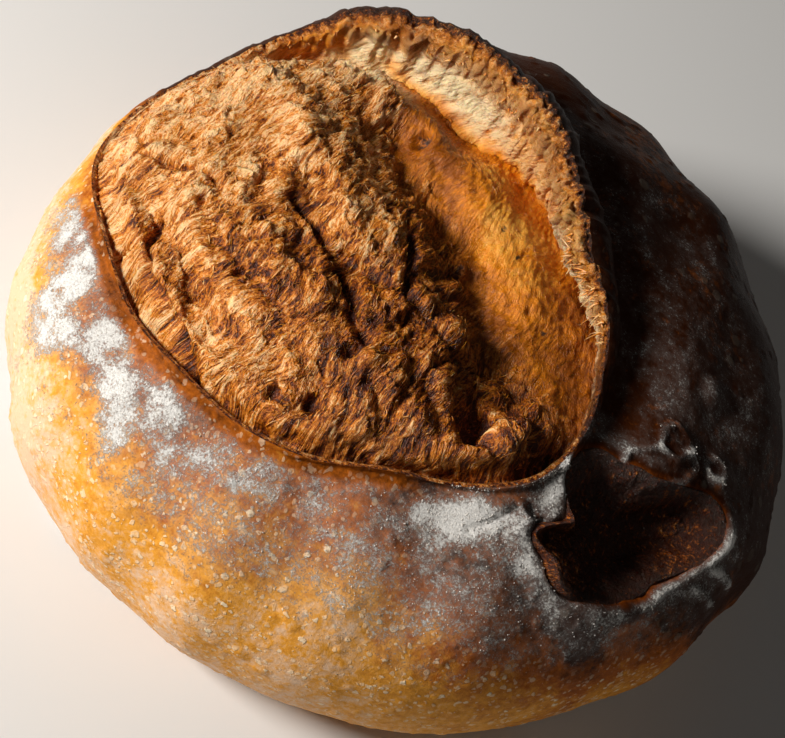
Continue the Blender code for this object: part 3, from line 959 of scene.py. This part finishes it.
def tear_crumb(form):
    """Points of the second tear's crumb with fibres, lumps and a pit, and its looks."""
    angle, reach = square_to_round(TEAR_CELLS)
    x, y = polar(TEAR_CENTRE, (round_curve(TEAR_RADIUS, angle) + 0.5 * MM) * reach, angle)
    height = form.dome_height(x, y)
    points = form.crust_point(x, y, height)
    places = points / MM
    px, py, pz = places.T
    laid = stack(0.75 * px + 0.66 * py + 2.5 * noise(places, 8, 91), 0.75 * py - 0.66 * px, pz)
    fibres = ridged(laid, (1.6, 6, 3), 92) + 0.5 * ridged(laid, (0.9, 4, 2), 93)
    lumps = 2.0 * np.abs(noise(places, 9, 94)) - 0.5 + 0.9 * np.abs(noise(places, 3.5, 95))
    grain = noise(places, 1.8, 96) + 0.6 * noise(places, 1.0, 97)
    light = oval(px, py, (90, -30), (10, 10))
    pocket = oval(px, py, (58, -59), (9, 9))
    pit = 4.0 * oval(px, py, (84, -52), (9, 9))
    inside = form.tear_inside(x, y) / MM
    relief = (1.1 + 1.2 * pocket) * lumps + 0.10 * fibres + 0.35 * grain - pit
    relief = relief * between(-0.5, 6, inside) + mix(-1.0, 0.3, between(-0.5, 1.2, inside))
    relief = relief + 9.0 * pocket * between(-0.5, 1.8, inside)
    # The pocket is painted paler as painted light in its shade, and the pit darker as painted shade.
    looks = {
        "crest": np.clip(0.10 + 0.10 * lumps + 0.10 * grain - 0.05 * pit + 0.3 * pocket, 0, 1),
        "toast_and_shade": 1.0 - 0.4 * light,
        "calm": 0 * inside,
        "raw": 0 * inside,
        "char": np.clip(0.35 * between(7, 1, inside) + 0.75 - 0.5 * light - pocket, 0, 1),
        "across": px * MM,
        "along": 4 * py * MM,
    }
    return points + form.dome_normal(x, y, height) * (relief * MM)[:, None], looks


class Nodes:
    """A new material and short ways to add and join its nodes."""

    def __init__(self, name, roughness=0.6):
        self.material = bpy.data.materials.new(name)
        self.material.use_nodes = True
        self.tree = self.material.node_tree
        self.shader = self.tree.nodes["Principled BSDF"]
        self.give("Roughness", roughness)
        self.place = self.add("TexCoord").outputs["Object"]

    def join(self, source, target):
        """Links a socket to the target, or sets the target to a number, a colour or a vector."""
        if isinstance(source, bpy.types.NodeSocket):
            self.tree.links.new(source, target)
        elif target.type == "RGBA":
            target.default_value = (*source, 1.0)
        else:
            target.default_value = source

    def give(self, name, source):
        self.join(source, self.shader.inputs[name])

    def add(self, kind, inputs=None, **settings):
        """A new node with its settings, and its inputs by name or number."""
        node = self.tree.nodes.new("ShaderNode" + kind)
        for key, value in settings.items():
            setattr(node, key, value)
        for key, source in (inputs or {}).items():
            self.join(source, node.inputs[key])
        return node

    def attribute(self, name):
        return self.add("Attribute", attribute_name=name).outputs["Fac"]

    def noise(self, scale, detail=3.0, rough=0.55, vector=None):
        inputs = {"Vector": vector or self.place, "Scale": scale, "Detail": detail, "Roughness": rough}
        return self.add("TexNoise", inputs).outputs["Fac"]

    def strand_noise(self, across, along, detail=3.0, rough=0.65):
        """Noise measured across and along the strands, at so many features for each metre."""
        inputs = {
            "X": self.times(self.attribute("across"), across),
            "Y": self.times(self.attribute("along"), along),
        }
        return self.noise(1, detail, rough, self.add("CombineXYZ", inputs).outputs["Vector"])

    def warped(self, scale, reach):
        """The place shifted a little by noise."""
        shift = self.add("TexNoise", {"Vector": self.place, "Scale": scale})
        inputs = {0: shift.outputs["Color"], 1: (reach, reach, reach), 2: self.place}
        return self.add("VectorMath", inputs, operation="MULTIPLY_ADD").outputs["Vector"]

    def cells(self, scale, vector, feature="F1"):
        return self.add("TexVoronoi", {"Vector": vector, "Scale": scale}, feature=feature)

    def dots(self, scale, largest, vector):
        """Round dots of mixed sizes, some places left out; largest is a share of the cells' size."""
        cells = self.cells(scale, vector)
        parts = self.add("SeparateColor", {"Color": cells.outputs["Color"]})
        reach = self.times(self.math("SUBTRACT", parts.outputs["Red"], 0.22), largest / 0.78)
        spot = self.step(self.math("SUBTRACT", reach, cells.outputs["Distance"]), 0.0, 0.10)
        return self.times(spot, self.step(parts.outputs["Green"], -0.6, 0.9))

    def threads(self, across, along):
        """Thin winding lines that run along the strands."""
        field = self.strand_noise(across, along, 2, 0.5)
        return self.step(self.math("ABSOLUTE", self.math("SUBTRACT", field, 0.5)), 0.05, 0.005)

    def math(self, operation, first, second=0.0):
        return self.add("Math", {0: first, 1: second}, operation=operation).outputs["Value"]

    def times(self, first, second):
        return self.math("MULTIPLY", first, second)

    def most(self, first, second):
        return self.math("MAXIMUM", first, second)

    def sum(self, *terms):
        """Adds sockets and (socket, weight, middle) terms, which count as weight x (value - middle)."""
        total = None
        for term in terms:
            if isinstance(term, tuple):
                value, weight, middle = term
                term = self.times(self.math("SUBTRACT", value, middle), weight)
            total = term if total is None else self.math("ADD", total, term)
        return total

    def step(self, value, low, high):
        """0 at low, 1 at high, smooth between; low may be the larger number."""
        inputs = {
            "Value": value,
            "From Min": min(low, high),
            "From Max": max(low, high),
            "To Min": float(low > high),
            "To Max": float(low <= high),
        }
        return self.add("MapRange", inputs, interpolation_type="SMOOTHSTEP").outputs["Result"]

    def mix(self, share, first, second):
        return self.add("Mix", {"Factor": share, "A": first, "B": second}, data_type="RGBA").outputs["Result"]

    def ramp(self, value, *stops):
        """A run of colours: stops are (place, colour)."""
        node = self.add("ValToRGB", {"Fac": value})
        elements = node.color_ramp.elements
        while len(elements) < len(stops):
            elements.new(0.5)
        for element, (place, shade) in zip(elements, stops):
            element.position = place
            element.color = (*shade, 1.0)
        return node.outputs["Color"]

    def greys(self, value, *stops):
        """A run of greys: stops are (place, level)."""
        return self.ramp(value, *((place, (level,) * 3) for place, level in stops))

    def bump(self, height, distance, strength=1.0, after=None):
        inputs = {"Height": height, "Distance": distance, "Strength": strength}
        if after is not None:
            inputs["Normal"] = after
        return self.add("Bump", inputs).outputs["Normal"]

    def soften(self, weight, scale):
        """Lets some light into the crumb."""
        self.give("Subsurface Weight", weight)
        self.give("Subsurface Radius", SUBSURFACE_TINT)
        self.give("Subsurface Scale", scale)


def crust_material(colours):
    """Baked crust: gold to dark chestnut by the bake attribute, which also holds painted shade, pale
    blisters, and flour on top.
    """
    nodes = Nodes("baked_crust")
    bake_and_shade, flour, torn, char = (nodes.attribute(name) for name in ("bake_and_shade", "flour", "torn", "char"))
    fine = nodes.noise(620, 4, 0.7)
    baked = nodes.sum(
        bake_and_shade,
        (nodes.noise(55, 4, 0.6), 0.5, 0.5),
        (fine, 0.5, 0.5),
        (nodes.noise(230, 4, 0.65), 0.65, 0.5),
    )
    base = nodes.ramp(
        baked,
        (0.02, colours.crust_pale),
        (0.24, colours.crust_gold),
        (0.58, colours.crust_brown),
        (0.92, colours.crust_dark),
    )
    place = nodes.warped(240, 0.0045)
    shaky = nodes.warped(700, 0.0016)
    spots = nodes.times(nodes.dots(270, 0.36, shaky), nodes.step(nodes.noise(60, 2), 0.34, 0.48))
    specks = nodes.most(nodes.dots(600, 0.52, shaky), nodes.times(nodes.dots(390, 0.46, place), 0.8))
    specks = nodes.times(specks, nodes.step(nodes.noise(80, 2), 0.32, 0.50))
    pale = nodes.times(nodes.most(spots, nodes.times(specks, 0.75)), nodes.step(bake_and_shade, 0.95, 0.35))
    base = nodes.mix(nodes.times(pale, nodes.step(fine, 0.2, 0.55)), base, colours.blister)
    discs = nodes.times(nodes.dots(170, 0.42, shaky), nodes.step(bake_and_shade, 0.5, 0.8))
    discs = nodes.times(discs, nodes.step(nodes.noise(50, 2), 0.45, 0.56))
    base = nodes.mix(nodes.times(discs, 0.45), base, colours.film)
    crumb = nodes.ramp(nodes.noise(700, 5, 0.7), (0.3, colours.crumb_deep), (0.7, colours.crumb_brown))
    base = nodes.mix(torn, base, crumb)
    base = nodes.mix(nodes.times(char, nodes.step(nodes.noise(500, 3), 0.35, 0.6)), base, colours.char)
    grit = nodes.noise(1300, 5, 0.8)
    drift = nodes.sum((nodes.noise(420, 4, 0.7), 1.3, 0.5), (nodes.noise(150, 4, 0.65), 1.6, 0.5))
    veil = nodes.times(nodes.step(nodes.sum(flour, (drift, 0.4, 0.0)), 0.05, 0.9), 0.27)
    powder = nodes.most(nodes.step(nodes.sum(flour, (grit, 2.0, 0.5), (drift, 0.6, 0.0)), 0.34, 0.80), veil)
    shaded = tuple(0.72 * part for part in colours.flour)
    clumps = nodes.ramp(nodes.noise(1900, 3, 0.7), (0.35, shaded), (0.60, colours.flour))
    base = nodes.mix(powder, base, clumps)
    nodes.give("Base Color", base)
    nodes.give("Roughness", nodes.greys(powder, (0.0, 0.46), (0.5, 0.88)))
    height = nodes.sum((fine, 0.6, 0.0), (pale, 0.5, 0.0), (discs, 0.6, 0.0), nodes.times(powder, grit))
    rough = nodes.bump(height, 0.0005)
    cracked = nodes.step(nodes.cells(85, place, "DISTANCE_TO_EDGE").outputs["Distance"], 0.0, 0.025)
    nodes.give("Normal", nodes.bump(cracked, 0.00010, 0.25, rough))
    nodes.give("Specular IOR Level", 0.04)
    return nodes.material


def crumb_material(colours, name):
    """Torn crumb: pale glossy crests over golden and brown depths, with painted highlights on the crests and
    painted shade in the depths; smooth honey in the hollow.
    """
    nodes = Nodes(name)
    names = ("crest", "toast_and_shade", "calm", "char", "raw")
    crest, toast_and_shade, calm, char, raw = (nodes.attribute(key) for key in names)
    streak = nodes.strand_noise(1350, 270, 4, 0.7)
    thread = nodes.most(nodes.threads(700, 150), nodes.times(nodes.threads(1300, 320), 0.8))
    speck = nodes.noise(1500, 3, 0.7)
    patch = nodes.strand_noise(330, 130, 3, 0.6)
    # Gaps are sunk by the bump and painted darker, tips raised and painted paler: painted shade and painted
    # highlights.
    gaps = nodes.step(nodes.strand_noise(480, 190), 0.46, 0.36)
    tips = nodes.step(nodes.strand_noise(560, 170), 0.53, 0.64)
    tone = nodes.sum(
        crest,
        (streak, 2.3, 0.5),
        (thread, 0.26, 0.3),
        (speck, 1.3, 0.5),
        (patch, 1.9, 0.5),
        (toast_and_shade, -0.34, 0.0),
        (gaps, -0.32, 0.2),
        (tips, 0.36, 0.2),
    )
    base = nodes.ramp(
        tone,
        (0.00, colours.crumb_deep),
        (0.26, colours.crumb_brown),
        (0.60, colours.crumb_gold),
        (1.00, colours.crumb_cream),
    )
    fuzz = nodes.strand_noise(1500, 500, 5, 0.7)
    honey = nodes.ramp(
        nodes.sum((nodes.noise(70, 4, 0.6), 0.9, 0.0), (fuzz, 0.75, 0.1), (toast_and_shade, -0.26, 0.0)),
        (0.45, colours.hollow_dark),
        (0.68, colours.hollow),
        (0.95, colours.hollow_light),
    )
    base = nodes.mix(calm, base, honey)
    cover = nodes.step(nodes.sum(patch, (streak, 0.6, 0.5)), 0.15, 0.55)
    base = nodes.mix(nodes.times(raw, cover), base, colours.crumb_pale)
    base = nodes.mix(nodes.times(char, nodes.step(nodes.noise(620, 4, 0.7), 0.38, 0.56)), base, colours.char)
    nodes.give("Base Color", base)
    nodes.give("Roughness", nodes.greys(nodes.noise(300, 3), (0.35, 0.26), (0.65, 0.58)))
    height = nodes.sum(streak, (thread, 0.3, 0.0), (gaps, -0.4, 0.0), (tips, 0.3, 0.0))
    strands = nodes.bump(nodes.times(height, nodes.sum(1.0, (calm, -0.75, 0.0))), 0.0014, 0.85)
    nodes.give("Normal", nodes.bump(speck, 0.0005, 0.8, strands))
    nodes.soften(0.2, 0.002)
    nodes.give("Specular IOR Level", 0.4)
    return nodes.material


def strand_material(colours, name):
    """Loose strands and flakes: brown at the root, cream at the tip."""
    nodes = Nodes(name, 0.33)
    crest, toast_and_shade = nodes.attribute("crest"), nodes.attribute("toast_and_shade")
    base = nodes.ramp(
        nodes.sum(crest, (nodes.noise(500, 4, 0.7), 1.8, 0.5), (toast_and_shade, -0.3, 0.0)),
        (0.10, colours.crumb_brown),
        (0.50, colours.crumb_gold),
        (0.98, colours.crumb_cream),
    )
    nodes.give("Base Color", base)
    nodes.give("Normal", nodes.bump(nodes.noise(1500, 2), 0.0002, 0.5))
    nodes.soften(0.3, 0.0015)
    return nodes.material


def flour_material(colours):
    nodes = Nodes("flour_grain", 0.95)
    nodes.give("Base Color", nodes.ramp(nodes.noise(500, 2), (0.3, GRAIN_SHADE), (0.7, colours.flour)))
    nodes.give("Normal", nodes.bump(nodes.noise(3000, 2), 0.0001))
    return nodes.material


def edge_distance(x, y):
    """How far in mm a plan point in mm lies outside the opening's edge."""
    dx, dy = x - OPENING_CENTRE[0] / MM, y - OPENING_CENTRE[1] / MM
    return np.hypot(dx, dy) - round_curve(EDGE_RADIUS, np.arctan2(dy, dx)) / MM


def flour_amount(form, points):
    """How much flour lies on the crust: heaps in front of the opening and a film over the dome."""
    places = points / MM
    x, y, z = places.T
    heaps = sum(amount * oval(x, y, (x0, y0), (radius, radius)) for x0, y0, radius, amount in FLOUR_HEAPS)
    cloud = noise(places, 12, 31) + 0.6 * noise(places, 5, 32)
    heaps = np.clip(heaps, 0, 1) * (0.85 + 0.5 * cloud)
    haze = 0.43 * between(46, 72, z) * between(0, -35, y)
    haze = haze + 0.1 * cloud * (haze > 0.05)
    film = 0.20 + 0.09 * cloud + 0.12 * oval(x, y, (80, 4), (22, 26))
    film = film * between(45, 72, z) * between(-10, 15, y + 0.3 * x) * between(85, 60, y)
    lying = np.maximum.reduce([heaps, haze, film]) * between(0.5, -3.0, form.in_tear(points))
    lying = lying * np.maximum(between(0.5, 4, edge_distance(x, y)), 0.9 * between(10, 25, x))
    ridges = sum(line_share(x, y, line, 1.5 * half) for line, half, _ in CRUST_RIDGES)
    ridges = np.maximum(0.8 * ridges * (z > 60), 0.75 * tear_lip(form, points))
    return np.clip(np.maximum(lying, ridges * (0.8 + 0.6 * cloud)), 0, 1)


def bake_and_shade_amount(form, points):
    """How dark the crust is baked, 0 pale gold to 1 near black, with painted shade at the front right by the
    second tear.
    """
    places = points / MM
    x, y, z = places.T
    away = edge_distance(x, y)
    lip = between(36, 3, away) * between(48, 72, z)
    low = between(6, 30, z)
    parts = (
        0.14 + 0.09 * noise(places, 24, 33) + 0.045 * noise(places, 9, 34),
        -0.12 * between(-55, -85, x) * (1 - lip),
        (0.36 + 0.06 * between(3, 1, away)) * lip,
        0.14 * between(40, 80, z),
        0.62 * between(-55, 35, y + 0.55 * x) * low,
        0.30 * between(30, 95, x) * (low - between(62, 35, z)),
        0.8 * between(-4.5, -1.5, form.in_tear(points)) * (z > 45),
        *(amount * oval(x, y, place, reach) for place, reach, amount in BAKE_AND_SHADE_PATCHES),
    )
    return np.clip(sum(parts), 0, 1)


def tear_lip(form, points):
    """Share of the raised lip along the front of the second tear."""
    inside = form.in_tear(points) + 0.6 * noise(points / MM, 4, 57)
    angle = np.degrees(np.arctan2(points[:, 1] - TEAR_CENTRE[1], points[:, 0] - TEAR_CENTRE[0]))
    return window(angle, -165, -150, 45, 62) * bell((inside + 1.3) / 2.2) * (points[:, 2] > 50 * MM)


def crust_relief(form, points):
    """Fine relief of the crust in metres: dimples, blisters, cracks, raised lips and base creases."""
    places = points / MM
    x, y, z = places.T
    relief = 0.35 * noise(places, 20, 51) + 0.16 * noise(places, 7, 52) + 0.08 * noise(places, 2.6, 53)
    relief = relief + 0.35 * between(0.36, 0.62, noise(places, 3.6, 54))
    relief = relief + 0.5 * between(0.45, 0.7, noise(places, 8, 55)) * between(30, 10, x)
    angle = np.degrees(np.arctan2(y, x))
    for middle, width, tall, deep in BASE_CREASES:
        relief = relief - deep * bell((angle - middle + 0.25 * z) / width) * between(tall, 0, z)
    wobble = 0.5 * noise(places, 4, 56)
    lips = 1.5 * tear_lip(form, points)
    for line, half, height in CRUST_RIDGES:
        lips = lips + height * line_share(x, y, line, half, wobble)
    return (relief + lips * between(55, 62, z)) * MM


def crust_surface(form):
    """Points, faces, normals and looks of the whole crust, from the base's middle to the ear's top."""
    turns = 2 * np.pi * np.arange(CRUST_MERIDIANS) / CRUST_MERIDIANS
    sections = Sections(form, turns - CLOSER_SHARE * np.sin(turns - CLOSER_TOWARDS))
    rings, places = ring_points(sections, CRUST_RINGS)
    points = np.concatenate((rings.reshape(-1, 3), np.zeros((1, 3))))
    faces = ring_faces(len(rings), CRUST_MERIDIANS, pole=len(points) - 1)
    normals = surface_normals(points, faces)
    place = np.append(np.repeat(places, CRUST_MERIDIANS), 0.0)
    ear = between(3, 9, np.append(np.tile(round_curve(EAR_RISE, sections.angles) / MM, len(rings)), 0.0))
    inside = form.in_tear(points) + 0.8 * noise(points / MM, 4, 61)
    torn = between(-0.5, 1.5, inside) * (points[:, 2] > 60 * MM)
    above = smooth_step((points[:, 2] - 1 * MM) / (4 * MM))
    relief = crust_relief(form, points) * above * (1 - torn) * between(4.0, 3.6, place)
    relief -= torn * 2.5 * MM * between(1.0, 4.0, inside)
    on_ear = between(2.9, 3.2, place) * ear
    looks = {
        "bake_and_shade": np.clip(bake_and_shade_amount(form, points) + 0.45 * on_ear, 0, 1),
        "flour": flour_amount(form, points) * (1 - 0.75 * on_ear),
        "torn": torn,
        "char": between(3.5, 3.95, place) * ear,
    }
    points = points + normals * relief[:, None]
    points[:, 2] = np.maximum(points[:, 2], 0)
    return points, faces, normals, looks


def flour_grains(form, rng, count):
    """Points and faces of small clumps of flour, each a rough double pyramid lying on the crust."""
    points, _, normals, looks = crust_surface(form)
    odds = np.clip(looks["flour"] - 0.35, 0, 1) * (looks["torn"] < 0.1)
    chosen = rng.choice(len(points), count, p=odds / odds.sum())
    size = rng.uniform(0.10, 0.34, count) * rng.uniform(0.6, 1, count) * MM
    shift = rng.normal(0, 0.45 * MM, (count, 3))
    out = normals[chosen]
    middle = points[chosen] + shift - out * np.sum(shift * out, axis=1)[:, None]
    shape = GRAIN_CORNERS * rng.uniform(0.6, 1.3, (count, 6, 1))
    made = middle[:, None] + shape * size[:, None, None]
    sides = np.array([(k, (k + 1) % 4, 4) for k in range(4)] + [((k + 1) % 4, k, 5) for k in range(4)])
    faces = sides + 6 * np.arange(count)[:, None, None]
    return made.reshape(-1, 3), [faces.reshape(-1, 3)]


class LoafOperator:
    """What the loaf's operators share."""

    bl_options = {"REGISTER", "UNDO"}

    def setup(self, context):
        sizes = context.scene.loaf_sizes
        return sizes, context.scene.loaf_colours, LoafForm(sizes)


class LOAF_OT_crust(LoafOperator, bpy.types.Operator):
    """Adds the crust, from the flat base up to the top of the ear's outer face"""

    bl_idname = "loaf.crust"
    bl_label = "Add Crust"

    def execute(self, context):
        _, colours, form = self.setup(context)
        points, faces, _, looks = crust_surface(form)
        build_mesh("baked_crust", points, faces, crust_material(colours), looks)
        return {"FINISHED"}


class LOAF_OT_torn_edge(LoafOperator, bpy.types.Operator):
    """Adds the opening's torn edge, its inner wall and the face that runs in under it"""

    bl_idname = "loaf.torn_edge"
    bl_label = "Add Torn Edge"

    def execute(self, context):
        _, colours, form = self.setup(context)
        points, faces, looks = torn_edge(form)
        build_mesh("torn_edge", points, faces, crumb_material(colours, "torn_edge"), looks)
        return {"FINISHED"}


class LOAF_OT_crumb(LoafOperator, bpy.types.Operator):
    """Adds the bed of torn crumb that bulges from the score and sinks into the hollow under the ear"""

    bl_idname = "loaf.crumb"
    bl_label = "Add Torn Crumb"

    def execute(self, context):
        sizes, colours, form = self.setup(context)
        angle, reach = square_to_round(BED_CELLS)
        radius = reach * (round_curve(WALL_FOOT_RADIUS, angle) + round_curve(UNDERCUT, angle))
        points, _, looks = Crumb(form, sizes).surface(*polar(OPENING_CENTRE, radius, angle))
        build_mesh("torn_crumb", points, grid_faces(BED_CELLS), crumb_material(colours, "torn_crumb"), looks)
        return {"FINISHED"}


class LOAF_OT_strands(LoafOperator, bpy.types.Operator):
    """Adds the loose strands and flakes that stand off the torn crumb"""

    bl_idname = "loaf.strands"
    bl_label = "Add Strands and Flakes"

    def execute(self, context):
        sizes, colours, form = self.setup(context)
        crumb = Crumb(form, sizes)
        rng = np.random.default_rng(STRAND_SEED)
        for (name, *kind), count in zip(LOOSE_KINDS, (sizes.strand_count, sizes.flake_count)):
            points, faces, looks = loose_pieces(crumb, rng, count, *kind)
            build_mesh(name, points, faces, strand_material(colours, name), looks)
        return {"FINISHED"}


class LOAF_OT_fringe(LoafOperator, bpy.types.Operator):
    """Adds the torn wisps that hang from the ear's edge over the hollow"""

    bl_idname = "loaf.fringe"
    bl_label = "Add Fringe"

    def execute(self, context):
        sizes, colours, form = self.setup(context)
        points, faces, looks = edge_wisps(form, np.random.default_rng(FRINGE_SEED), sizes.fringe_count)
        build_mesh("ear_fringe", points, faces, strand_material(colours, "ear_fringe"), looks)
        return {"FINISHED"}


class LOAF_OT_second_tear(LoafOperator, bpy.types.Operator):
    """Adds the crumb of the second tear at the right end of the score"""

    bl_idname = "loaf.second_tear"
    bl_label = "Add Second Tear"

    def execute(self, context):
        _, colours, form = self.setup(context)
        points, looks = tear_crumb(form)
        material = crumb_material(colours, "second_tear_crumb")
        build_mesh("second_tear_crumb", points, grid_faces(TEAR_CELLS), material, looks)
        return {"FINISHED"}


class LOAF_OT_flour(LoafOperator, bpy.types.Operator):
    """Adds clumps of flour where it lies thickest on the crust"""

    bl_idname = "loaf.flour"
    bl_label = "Add Flour"

    def execute(self, context):
        sizes, colours, form = self.setup(context)
        points, faces = flour_grains(form, np.random.default_rng(FLOUR_SEED), sizes.grain_count)
        build_mesh("flour_grains", points, faces, flour_material(colours), {})
        return {"FINISHED"}


class LOAF_OT_stage(LoafOperator, bpy.types.Operator):
    """Adds the pale floor, the studio light and the camera"""

    bl_idname = "loaf.stage"
    bl_label = "Add Stage"

    def execute(self, context):
        sizes, colours, _ = self.setup(context)
        add_floor(colours)
        add_lights(context.scene)
        add_camera(context.scene, sizes)
        return {"FINISHED"}


def add_floor(colours):
    bpy.ops.mesh.primitive_plane_add(size=FLOOR_SIZE)
    floor = bpy.context.object
    floor.name = "pale_floor"
    nodes = Nodes("pale_floor", 0.8)
    darker = tuple(0.97 * part for part in colours.floor)
    nodes.give("Base Color", nodes.mix(nodes.noise(3, 2), colours.floor, darker))
    floor.data.materials.append(nodes.material)


def add_lights(scene):
    for name, direction, size, power, tint in LIGHTS:
        towards = Vector(direction).normalized()
        light = bpy.data.lights.new(name, "AREA")
        light.shape = "DISK"
        light.size = size
        light.energy = power
        light.color = tint
        lamp = bpy.data.objects.new(name, light)
        lamp.location = Vector(CAMERA_TARGET) + towards * LIGHT_DISTANCE
        lamp.rotation_mode = "QUATERNION"
        lamp.rotation_quaternion = towards.to_track_quat("Z", "Y")
        scene.collection.objects.link(lamp)
    world = bpy.data.worlds.new("studio")
    world.use_nodes = True
    background = world.node_tree.nodes["Background"]
    background.inputs["Color"].default_value = WORLD_TINT
    background.inputs["Strength"].default_value = WORLD_STRENGTH
    scene.world = world
    scene.view_settings.view_transform = "Standard"


def add_camera(scene, sizes):
    """The camera looks down on the loaf's front, turned to the left so that the loaf leans right."""
    elevation, roll = sizes.camera_elevation, sizes.camera_roll
    back = Vector((0, -math.cos(elevation), math.sin(elevation)))
    upright = Vector((0, math.sin(elevation), math.cos(elevation)))
    level = Vector((1, 0, 0))
    right = math.cos(roll) * level + math.sin(roll) * upright
    up = -math.sin(roll) * level + math.cos(roll) * upright
    data = bpy.data.cameras.new("camera")
    data.lens = CAMERA_LENS
    data.sensor_width = CAMERA_SENSOR
    camera = bpy.data.objects.new("camera", data)
    turn = Matrix((right, up, back)).transposed().to_4x4()
    camera.matrix_world = Matrix.Translation(Vector(CAMERA_TARGET) + back * sizes.camera_distance) @ turn
    scene.collection.objects.link(camera)
    scene.camera = camera


class LOAF_PT_panel(bpy.types.Panel):
    """Lists the loaf's sizes, colours and pieces"""

    bl_label = "Sourdough Loaf"
    bl_idname = "LOAF_PT_panel"
    bl_space_type = "VIEW_3D"
    bl_region_type = "UI"
    bl_category = "Loaf"

    def draw(self, context):
        layout = self.layout
        for group in (context.scene.loaf_sizes, context.scene.loaf_colours):
            box = layout.box()
            for key in group.__annotations__:
                box.prop(group, key)
        for operator in OPERATORS:
            layout.operator(operator.bl_idname)


OPERATORS = (
    LOAF_OT_crust,
    LOAF_OT_torn_edge,
    LOAF_OT_crumb,
    LOAF_OT_strands,
    LOAF_OT_fringe,
    LOAF_OT_second_tear,
    LOAF_OT_flour,
    LOAF_OT_stage,
)
CLASSES = (LoafSizes, LoafColours, *OPERATORS, LOAF_PT_panel)


def register():
    for cls in CLASSES:
        bpy.utils.register_class(cls)
    bpy.types.Scene.loaf_sizes = PointerProperty(type=LoafSizes)
    bpy.types.Scene.loaf_colours = PointerProperty(type=LoafColours)


def unregister():
    del bpy.types.Scene.loaf_colours
    del bpy.types.Scene.loaf_sizes
    for cls in reversed(CLASSES):
        bpy.utils.unregister_class(cls)


def main():
    register()
    bpy.ops.loaf.crust()
    bpy.ops.loaf.torn_edge()
    bpy.ops.loaf.crumb()
    bpy.ops.loaf.strands()
    bpy.ops.loaf.fringe()
    bpy.ops.loaf.second_tear()
    bpy.ops.loaf.flour()
    bpy.ops.loaf.stage()


if __name__ == "__main__":
    main()
